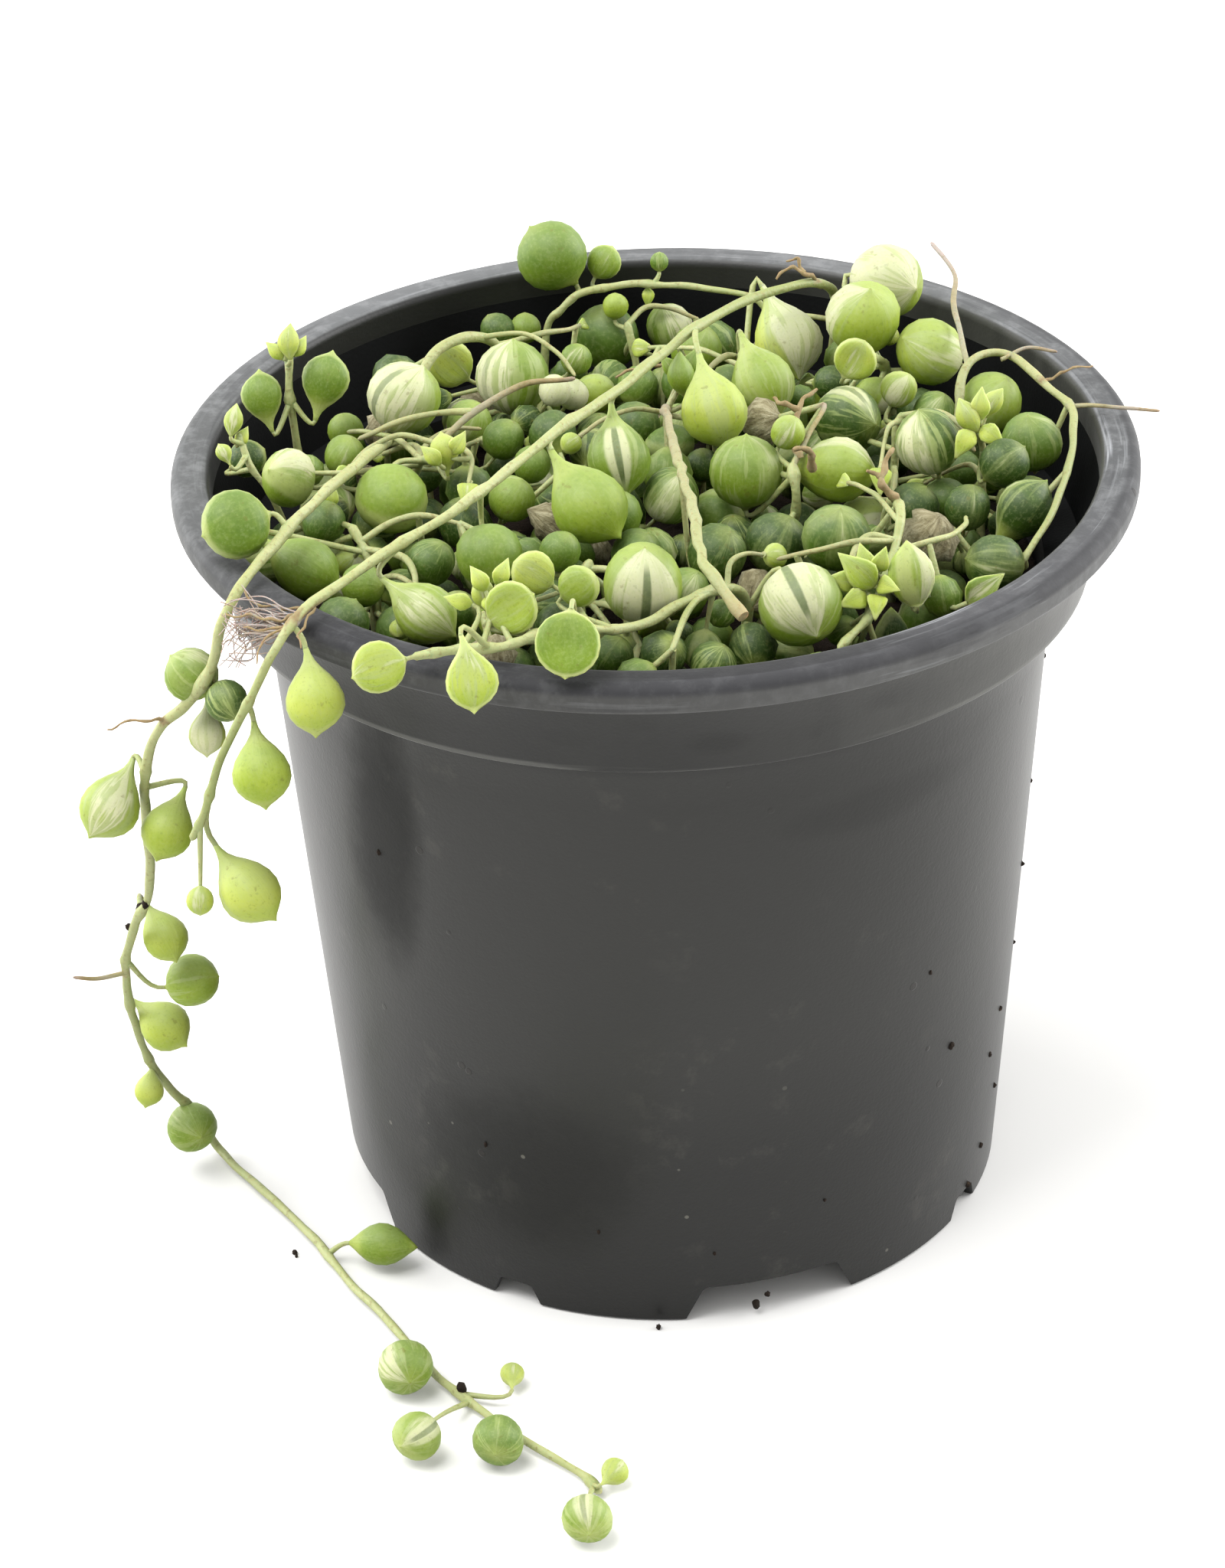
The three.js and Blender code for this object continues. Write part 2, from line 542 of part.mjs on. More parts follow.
// A leaf with its stalk, turned about the line from the start of the stalk to the leaf's tip
function leafGeometry(leaf) {
  const { outline, tip } = LEAF_FORMS[leaf.form];
  const axis = leaf.centre.clone().sub(leaf.start);
  const length = axis.length();
  const profile = [[0, -0.2], [PETIOLE_RADIUS, 0]];
  const shoulder = length + outline[0][0] * leaf.radius;
  if (shoulder > 2 * STALK_FLARE) profile.push([PETIOLE_RADIUS, shoulder - STALK_FLARE]);
  for (const [place, width] of outline) {
    const height = length + place * leaf.radius;
    if (height > SEAT_GAP) profile.push([width * leaf.radius, height]);
  }
  profile.push([0, length + tip * leaf.radius]);
  const sides = leaf.radius < BROAD_LEAF ? 5 : 6;
  const geometry = turned(profile, sides);
  const turn = new THREE.Quaternion().setFromUnitVectors(new THREE.Vector3(0, 0, 1), axis.normalize());
  return geometry.applyQuaternion(turn).translate(leaf.start.x, leaf.start.y, leaf.start.z);
}

// A round stem along its curve
function stemGeometry({ curve, radius, steps }) {
  const section = new THREE.Shape(new THREE.EllipseCurve(0, 0, radius, radius).getPoints(5).slice(0, 5));
  return new THREE.ExtrudeGeometry(section, { steps, extrudePath: curve, bevelEnabled: false });
}

// A wedge across the skirt, wider at its foot, at an angle round the pot
function notchGeometry({ foot, top, height }, degrees) {
  const shape = new THREE.Shape([
    new THREE.Vector2(-foot / 2, -1),
    new THREE.Vector2(foot / 2, -1),
    new THREE.Vector2(top / 2, height),
    new THREE.Vector2(-top / 2, height),
  ]);
  const geometry = new THREE.ExtrudeGeometry(shape, { depth: 12, bevelEnabled: false });
  return geometry.rotateX(Math.PI / 2).translate(0, -CHANNEL_INNER_RADIUS - 2, 0)
    .rotateZ(THREE.MathUtils.degToRad(degrees));
}

function drainGeometry(degrees) {
  const distance = (CHANNEL_INNER_RADIUS + BASE_RADIUS) / 2;
  return new THREE.CylinderGeometry(DRAIN_RADIUS, DRAIN_RADIUS, 6, 8).rotateX(Math.PI / 2)
    .translate(0, -distance, CHANNEL_HEIGHT).rotateZ(THREE.MathUtils.degToRad(degrees));
}

function potGeometry() {
  let solid = solidFrom(turned(potOutline(), POT_SIDES));
  for (let quarter = 0; quarter < 4; quarter += 1) {
    const degrees = NOTCH_START + 90 * quarter;
    solid = solid.subtract(solidFrom(notchGeometry(WIDE_NOTCH, degrees)));
    solid = solid.subtract(solidFrom(notchGeometry(SMALL_NOTCH, degrees + 45)));
    solid = solid.subtract(solidFrom(drainGeometry(degrees + 20)));
    solid = solid.subtract(solidFrom(drainGeometry(degrees + 70)));
  }
  return geometryFrom(solid);
}

// The soil fills the pot up to its domed top, with a hole for each stem
function soilGeometry() {
  const floor = POT_WALL + SEAT_GAP;
  const channel = CHANNEL_HEIGHT + floor;
  const edge = BODY_TOP_RADIUS - POT_WALL - SEAT_GAP - 0.3;
  const outline = [[0, floor], [CHANNEL_INNER_RADIUS - 1.8, floor], [CHANNEL_INNER_RADIUS - 0.6, channel],
    [BASE_RADIUS - POT_WALL, channel]];
  for (let ring = SOIL_RINGS; ring > 0; ring -= 1) {
    const distance = (edge * ring) / SOIL_RINGS;
    outline.push([distance, soilHeight(distance)]);
  }
  outline.push([0, SOIL_CENTRE_HEIGHT]);
  let solid = solidFrom(turned(outline, SOIL_SIDES));
  for (const strand of STRANDS) {
    const [x, y] = strand.route[0];
    const surface = soilHeight(Math.hypot(x, y));
    const radius = strand.stem / 2 + ROOT_HOLE_CLEARANCE;
    const hole = new THREE.CylinderGeometry(radius, radius, 2 * ROOT_DEPTH, 6).rotateX(Math.PI / 2);
    solid = solid.subtract(solidFrom(hole.translate(x, y, surface)));
  }
  return geometryFrom(solid);
}

// One strand: its stems and leaves joined into a single body
function strandGeometry(plan, index) {
  const parts = [];
  for (const stem of plan.stems) {
    if (stem.strand === index) parts.push(solidFrom(stemGeometry(stem)));
  }
  for (const leaf of plan.leaves) {
    if (leaf.strand === index) parts.push(solidFrom(leafGeometry(leaf)));
  }
  return geometryFrom(wasm.Manifold.union(parts));
}

function named(name, geometry, color, roughness) {
  const mesh = new THREE.Mesh(geometry, new THREE.MeshStandardMaterial({ color, roughness, metalness: 0 }));
  mesh.name = name;
  return mesh;
}

const group = new THREE.Group();
const plan = plantPlan();
settle(plan);
group.add(named('pot', potGeometry(), POT_BLACK, 0.45));
group.add(named('soil', soilGeometry(), SOIL_BROWN, 0.95));
STRANDS.forEach((strand, index) => {
  const color = new THREE.Color(LEAF_GREEN).lerp(new THREE.Color(STEM_GREEN), index / STRANDS.length);
  group.add(named(strand.name, strandGeometry(plan, index), color, 0.4));
});

export default group;
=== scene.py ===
# Potted variegated string of pearls: the finished look of every piece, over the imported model.
# +Z is up, -Y the front and +X its right. The plant and the pot are measured in millimetres here
# and become metres as each mesh is made.

import math

import bpy
import numpy as np
from mathutils import Matrix, Vector, kdtree, noise


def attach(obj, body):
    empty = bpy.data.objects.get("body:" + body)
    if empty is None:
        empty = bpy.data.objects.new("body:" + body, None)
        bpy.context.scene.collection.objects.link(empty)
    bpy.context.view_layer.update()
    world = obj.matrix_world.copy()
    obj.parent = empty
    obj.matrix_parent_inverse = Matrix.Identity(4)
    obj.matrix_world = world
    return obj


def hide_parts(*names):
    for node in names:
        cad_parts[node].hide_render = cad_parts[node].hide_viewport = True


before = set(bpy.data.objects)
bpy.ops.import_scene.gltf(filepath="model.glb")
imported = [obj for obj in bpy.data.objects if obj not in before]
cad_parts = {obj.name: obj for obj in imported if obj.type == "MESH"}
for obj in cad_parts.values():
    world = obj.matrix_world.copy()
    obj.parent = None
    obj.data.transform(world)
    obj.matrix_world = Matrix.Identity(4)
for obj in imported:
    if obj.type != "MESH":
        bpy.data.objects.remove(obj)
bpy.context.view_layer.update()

MM = 0.001

# Driving dimensions of the pot, as in the part's source
POT_HEIGHT = 90
LIP_RADIUS = 52.5
LIP_WIDTH = 4.3
LIP_DEPTH = 3.4
LIP_ROUNDING = 0.8
COLLAR_TOP_RADIUS = 49.3
COLLAR_FOOT_RADIUS = 47.3
COLLAR_HEIGHT = 13
BODY_TOP_RADIUS = 43.4
BASE_RADIUS = 37.6
POT_WALL = 1.1
CHANNEL_INNER_RADIUS = 29
CHANNEL_HEIGHT = 5
NOTCH_START = 15
WIDE_NOTCH = (20.5, 15.5, 4.7)
SMALL_NOTCH = (7, 4, 2.8)
DRAIN_RADIUS = 2.6
DRAIN_TURNS = (20, 70)

# How finely the pot is turned, how its corners are rounded, and the angle of an edge that stays sharp
POT_SIDES = 128
COLLAR_FOOT_ROUNDING = 0.35
LIP_FOOT_ROUNDING = 0.9
LIP_OUTER_ROUNDING = 1.3
LIP_INNER_ROUNDING = 1.1
NOTCH_ROUNDING = 0.5
SHARP_EDGE = 38

# Driving dimensions of the soil and of how the strands stand in it
SOIL_CENTRE_HEIGHT = 80
SOIL_EDGE_HEIGHT = 74
ROOT_DEPTH = 5
ROOT_RISE = 1.5
SEAT_GAP = 0.3

# How finely the soil is turned, a height and radius on its side, how far its drawn top lies below the
# packed one, and how deep and how high its crumbs go
SOIL_SIDES = 96
SOIL_RINGS = 34
SOIL_SIDE = (40, 38.5)
SOIL_SINK = 0.6
SOIL_RELIEF = (-0.9, 0.55)

# How the leaves settle round each other. A leaf that shows and one under it differ in the pull to their
# place and in how readily they give way.
SEED = 1939
SETTLE_ROUNDS = 160
HOLDING_SHARE = 0.7
LEAF_GAP = 0.45
LONG_LEAF_ROOM = 1.2
SHOWN_LEAF = (0.06, 0.3)
UNDER_LEAF = (0.02, 1)

# Leaves under the shown ones: their reach round the root, their rise and radius, and how many are pale
UNDER_REACH = 8
UNDER_RISE = 4
UNDER_RADIUS = (2.1, 3.1)
PALE_SHARE = 0.1

# Fillers are the small leaves that close the crown between the leaves of the plan and the soil: the
# tries for each range of radii, their gap and rise, and how far out they and their stalks reach
FILLER_TRIES = 4200
FILLER_RADII = [(2.5, 3.0), (2.0, 2.5), (1.5, 2.0)]
FILLER_GAP = 0.1
FILLER_RISE = 10
FILLER_REACH = 38
FILLER_FRONT_REACH = 42
FILLER_STALK_REACH = 9
SLIVER_SHARE = 0.22

# Fine stems that wander between the leaves: how many, the tries for them, their length and radius, the
# heights between which they leave the thicker stems, and how far they rise from there
THREADS = 34
THREAD_TRIES = 5000
THREAD_LENGTH = (6, 15)
THREAD_RADIUS = (0.36, 0.5)
THREAD_HEIGHTS = (84, 93)
THREAD_RISE = (-3, 2)

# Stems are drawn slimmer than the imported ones, and a stalk thins from its stem to its leaf. The packed
# stalks have the petiole's radius.
STEM_SHARE = 0.8
STALK_RADIUS = (0.36, 0.27)
PETIOLE_RADIUS = 0.42

# How thick a strand's stems are drawn, as a share of the others
SLIMNESS = {
    "strand_right_arc": 0.85,
    "strand_over_front_left": 0.84,
    "strand_trailing_left": 0.9,
}

# How much greener than the others they are
GREENNESS = {
    "strand_right_arc": 0.33,
}

# How dry a strand's stem is at its foot and at its end, from green to straw
DRYNESS = {
    "stub_cut_dry": (1.0, 0.35),
    "strand_right_arc": (0.3, 0.1),
    "strand_over_front_left": (0.1, 0.0),
}
USUAL_DRYNESS = (0.15, 0.0)
THREAD_DRYNESS = (0.1, 0.6)
SIDE_TWIG_DRYNESS = (0.5, 0.95)

# Steps from each point of a route to the next: as the leaves settle, and of each kind as drawn
PLAN_STEPS = 4
STEM_STEPS = 8
TWIG_STEPS = 6
THREAD_STEPS = 5
HAIR_STEPS = 4

# How a stem swells at its leaves, by a share of its radius over a length, and how it wanders
KNOB = 0.2
KNOB_LENGTH = 0.7
STEM_WANDER = 0.2
STEM_UNEVENNESS = 0.24

# Fine pale root hairs where the long strand crosses the lip: how many, where they leave the strand,
# where they end, how far they stray and their radius
ROOT_HAIRS = 46
HAIR_FEET = [(-36.2, -37.2, 91.7), (-38.4, -39.6, 90.6)]
HAIR_ENDS = [(-43.6, -33.4, 90.8), (-44.6, -37.4, 85.4)]
HAIR_STRAY = 1.6
HAIR_RADIUS = 0.075

# Leaves that have dried, as strand and place in its list, and the share of the fillers that have
DRIED = [("sprig_front_right", 1), ("sprig_middle", 2)]
DRIED_SHARE = 0.07

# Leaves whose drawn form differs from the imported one: strand, place in its list, form, share of the
# radius, and the shift of its middle
RESHAPED = [
    ("sprig_front_right", 2, "cup", 0.84, (-1.1, 0.2, -0.4)),
    ("sprig_front_right", 3, "bract", 0.85, (-0.2, 0, 0)),
    ("strand_over_front_left", 5, "drop", 0.97, (-0.2, 0, -0.8)),
]

# Rows of a leaf from its neck to its tip: height and radius, both in leaf radii
LEAF_ROWS = {
    "round": [(-1.13, 0.07), (-1.05, 0.12), (-0.98, 0.26), (-0.87, 0.51), (-0.67, 0.76), (-0.38, 0.94),
              (-0.04, 1.0), (0.3, 0.96), (0.58, 0.82), (0.8, 0.6), (0.93, 0.35), (0.99, 0.16),
              (1.04, 0.06), (1.09, 0.025)],
    "bead": [(-1.13, 0.09), (-1.04, 0.15), (-0.96, 0.32), (-0.83, 0.57), (-0.6, 0.81), (-0.28, 0.96),
             (0.06, 1.0), (0.38, 0.93), (0.65, 0.76), (0.86, 0.51), (0.97, 0.25), (1.03, 0.09),
             (1.07, 0.03)],
    "drop": [(-1.85, 0.085), (-1.6, 0.12), (-1.36, 0.2), (-1.12, 0.36), (-0.86, 0.59), (-0.52, 0.83),
             (-0.14, 0.97), (0.22, 0.98), (0.54, 0.86), (0.8, 0.64), (0.98, 0.38), (1.1, 0.18),
             (1.2, 0.07), (1.28, 0.03)],
    "long": [(-1.6, 0.1), (-1.32, 0.3), (-1.0, 0.56), (-0.6, 0.82), (-0.15, 0.97), (0.3, 0.96),
             (0.72, 0.82), (1.08, 0.58), (1.38, 0.34), (1.62, 0.16), (1.8, 0.06)],
    "bract": [(-1.2, 0.16), (-0.95, 0.42), (-0.55, 0.76), (-0.1, 0.94), (0.4, 0.86), (0.85, 0.62),
              (1.25, 0.36), (1.6, 0.16), (1.85, 0.04)],
    "cup": [(-1.3, 0.12), (-1.12, 0.36), (-0.8, 0.68), (-0.35, 0.92), (0.1, 1.0), (0.55, 0.93),
            (0.92, 0.72), (1.2, 0.44), (1.42, 0.2), (1.6, 0.05)],
    "filler": [(-1.05, 0.14), (-0.93, 0.38), (-0.6, 0.8), (0.0, 1.0), (0.58, 0.81), (0.9, 0.42),
               (1.03, 0.06)],
    "sliver": [(-1.25, 0.12), (-0.9, 0.45), (-0.4, 0.74), (0.1, 0.8), (0.6, 0.6), (1.0, 0.32),
               (1.3, 0.05)],
}
LEAF_SIDES = 20
FILLER_SIDES = 10
SHOWN_FORMS = ("round", "bead", "drop", "long", "cup")
THIN_FORMS = ("bract", "sliver", "cup")
FILLER_FORMS = ("filler", "sliver")

# Between these two heights a leaf's finish turns dry, and every tip counts as the upper one
TIP_MARKS = (1.04, 1.08)

# How far a leaf's body swells in two and in three lobes, the depth and width of its slit, how much a thin
# leaf and a leaf with a rim are flattened, how deep a rimmed leaf is hollowed, and how its tip bends
LOBES = (0.03, 0.018)
SLIT_GROOVE = 0.045
SLIT_WIDTH = 0.16
THIN_SHARE = 0.5
RIM_THINNING = 0.3
CUP_DEPTH = 0.55
TIP_BEND = 0.14

# A dried leaf crumples by a share of its radius, in lumps, and shrinks in length
HUSK_CRUMPLE = 0.5
HUSK_LUMPS = 2.4
HUSK_LENGTH = 0.85

# Below this height a leaf lies on the floor
FLOOR_LEAF_HEIGHT = 8

# Buds of each strand, drawn as bracts, as x, y, z, radius, tint, rim, aim and lean
BUDS = {
    "sprig_front_right": [
        (18.7, -31.8, 89.8, 1.35, 0.1, 0.5, 172, 25), (20.8, -30.6, 91.0, 1.3, 0.1, 0.4, 110, 15),
        (19.6, -33.9, 88.9, 1.3, 0.2, 0.5, -155, 35), (21.6, -34.2, 88.6, 1.2, 0.1, 0.6, -100, 45),
        (22.2, -31.3, 91.6, 1.05, 0.0, 0.4, 70, 35), (19.3, -30.6, 91.0, 0.9, 0.0, 0.4, 140, 20),
        (22.6, -33.0, 89.8, 1.1, 0.05, 0.5, -20, 50),
    ],
    "sprig_left": [
        (-23.8, -5.6, 92.6, 1.0, 0.0, 0.4, 135, 10), (-21.2, -4.4, 93.2, 1.0, 0.0, 0.4, 55, 10),
    ],
    "sprig_front_left": [
        (-34.7, -10.1, 90.4, 0.9, 0.1, 0.5, 80, 10),
    ],
    "strand_over_front_lip": [
        (-18.6, -40.8, 96.4, 1.0, 0.0, 0.5, 120, 10), (-16.5, -39.7, 96.4, 1.0, 0.0, 0.5, 65, 10),
        (-20.6, -42.4, 95.0, 1.0, 0.05, 0.5, 165, 10), (-17.6, -41.6, 94.2, 1.1, 0.1, 0.5, -60, 30),
    ],
    "strand_back_arch": [
        (0.6, 39.3, 89.6, 0.8, 0.1, 0.2, -90, 5),
    ],
    "sprig_right_edge": [
        (34.9, -4.3, 95.4, 1.2, 0.0, 0.4, 90, 10), (33.2, -6.4, 92.6, 1.3, 0.05, 0.4, -125, 20),
        (35.8, -5.8, 92.9, 1.2, 0.1, 0.4, -40, 20),
    ],
    "shoot_left_upright": [
        (-38.2, 8.2, 99.4, 0.9, 0.0, 0.4, 55, 5), (-40.6, 8.0, 99.2, 0.9, 0.0, 0.4, 135, 5),
    ],
    "shoot_left_low": [
        (-44.4, -1.4, 93.6, 0.8, 0.0, 0.4, 60, 5),
    ],
    "stub_cut_dry": [
        (4.2, 9.2, 95.0, 1.2, 0.55, 0.2, 60, 20), (2.2, 8.6, 95.2, 1.0, 0.5, 0.2, 130, 20),
    ],
}

# Dry twigs, tendrils and roots of each strand, as radius and points
TWIGS = {
    "sprig_centre": [
        (0.42, [[15.4, -7.2, 91.6], [15.0, -4.6, 93.4], [15.8, -1.4, 95.0], [17.9, 0.4, 95.8]]),
        (0.36, [[15.6, -2.0, 94.8], [13.8, -1.6, 95.6], [12.9, -0.4, 95.4]]),
        (0.5, [[16.6, -9.6, 91.4], [16.2, -10.3, 94.0], [14.6, -11.4, 94.4]]),
    ],
    "sprig_front_right": [
        (0.5, [[24.8, -18.6, 92.0], [23.4, -19.0, 94.0], [23.6, -17.2, 95.6], [24.8, -15.6, 96.6]]),
        (0.38, [[23.5, -18.4, 94.6], [21.8, -18.2, 95.4]]),
    ],
    "strand_over_front_left": [
        (0.3, [[20.0, 29.2, 94.6], [18.4, 26.0, 97.6], [16.4, 26.6, 98.4], [14.6, 25.4, 97.6]]),
        (0.24, [[18.0, 26.2, 97.8], [17.2, 27.4, 99.2], [16.0, 27.6, 98.8]]),
        (0.2, [[-37.4, -38.2, 91.9], [-40.1, -38.0, 91.4], [-42.6, -36.3, 91.2], [-44.8, -34.9, 90.6]]),
        (0.18, [[-37.6, -38.6, 91.6], [-40.4, -39.6, 90.9], [-42.9, -38.6, 90.7]]),
        (0.2, [[-36.0, -37.0, 92.1], [-38.9, -35.9, 91.6], [-41.6, -34.4, 91.4], [-43.0, -32.9, 92.0]]),
        (0.16, [[-35.6, -36.8, 91.9], [-37.2, -40.6, 91.1], [-37.0, -42.6, 90.6]]),
        (0.16, [[-38.2, -39.2, 91.2], [-40.9, -40.9, 90.6], [-41.4, -42.9, 88.9]]),
    ],
    "sprig_back_centre": [
        (0.3, [[4.0, 21.0, 88.6], [2.6, 19.2, 90.4], [-0.4, 17.8, 91.0], [-3.6, 15.9, 90.6]]),
    ],
    "strand_right_arc": [
        (0.2, [[43.1, 9.3, 91.5], [46.2, 10.6, 92.1], [49.0, 12.6, 91.6]]),
    ],
    "strand_trailing_left": [
        (0.2, [[-52.4, -30.6, 75.8], [-55.6, -31.4, 76.4], [-58.4, -31.6, 75.6]]),
    ],
}

# Crumbs of soil on the pot's side, as degrees round from the front, height and radius
CRUMBS_ON_POT = [
    (84, 66.0, 0.32), (85, 64.2, 0.26), (80, 50.2, 0.24), (78, 40.1, 0.3), (80, 28.6, 0.26),
    (70, 24.0, 0.34), (66, 19.4, 0.3), (72, 12.4, 0.26), (66, 6.6, 0.3), (61, 3.2, 0.36), (50, 27.4, 0.32),
    (43, 40.0, 0.24), (-48, 57.0, 0.26), (-14, 12.6, 0.22), (5, 9.6, 0.24), (12, 1.4, 0.42),
    (14, 2.6, 0.3), (24, 14.2, 0.22), (-33, 21.8, 0.24),
]

# Crumbs on stems and the floor, as x, y, z and radius
LOOSE_CRUMBS = [
    (-57.6, -19.7, 46.4, 0.5), (-58.4, -18.0, 44.9, 0.42), (-59.9, -16.6, 41.4, 0.44),
    (-24.9, -50.4, 2.0, 0.5), (-44.1, -22.3, 0.25, 0.3), (-43.9, -22.9, 0.2, 0.22), (-3.1, -38.9, 0.3, 0.36),
]

# How fine the lumps of a crumb are
CRUMB_LUMPS = 1.3

# Soft dark patches on the pot's front, as x, height, half width, half height and strength
POT_PATCHES = [
    (-30.4, 60, 4.8, 21, 0.95), (-21.4, 25.3, 4.5, 4.5, 0.6),
    (-16, 20, 14, 14, 0.75), (22, 66, 12, 3.5, 0.3),
]

# Smudges on its collar, in the same way; the last, broad one on the left is painted shade where the left
# lamp gleams on the collar
COLLAR_SMUDGES = [
    (-10.6, 81.3, 3.2, 1.6, 0.8), (-3.2, 83.4, 2.6, 1.5, 0.7), (4.4, 80.6, 4.2, 2.1, 0.95),
    (13.5, 80.2, 2.6, 1.3, 0.5), (23, 82.4, 4.4, 2, 0.5), (-38, 82, 6, 4, 0.6),
]

# Where the photograph was taken from
EYE = (-9.11, -451.88, 319.51)
PITCH = 0.5418
YAW = 0.0073
ROLL = -0.03517
LENS = 107.07

# The white room: its strength, its soft lamps as place, size and power, and the floor, all in metres
WORLD_STRENGTH = 1.2
LAMPS = [
    ((-0.28, -0.15, 0.78), 0.5, 7.6),
    ((-0.85, 0.35, 0.36), 0.8, 10),
    ((0.85, 0.25, 0.36), 0.8, 15),
]
LAMP_AIM = (0, 0, 0.06)
FLOOR_SIZE = 6
FLOOR_COLOR = (0.66, 0.655, 0.64, 1)

# Share of its seen brightness in the white room that a leaf's colour has of its own
LEAF_SHARE = 0.505
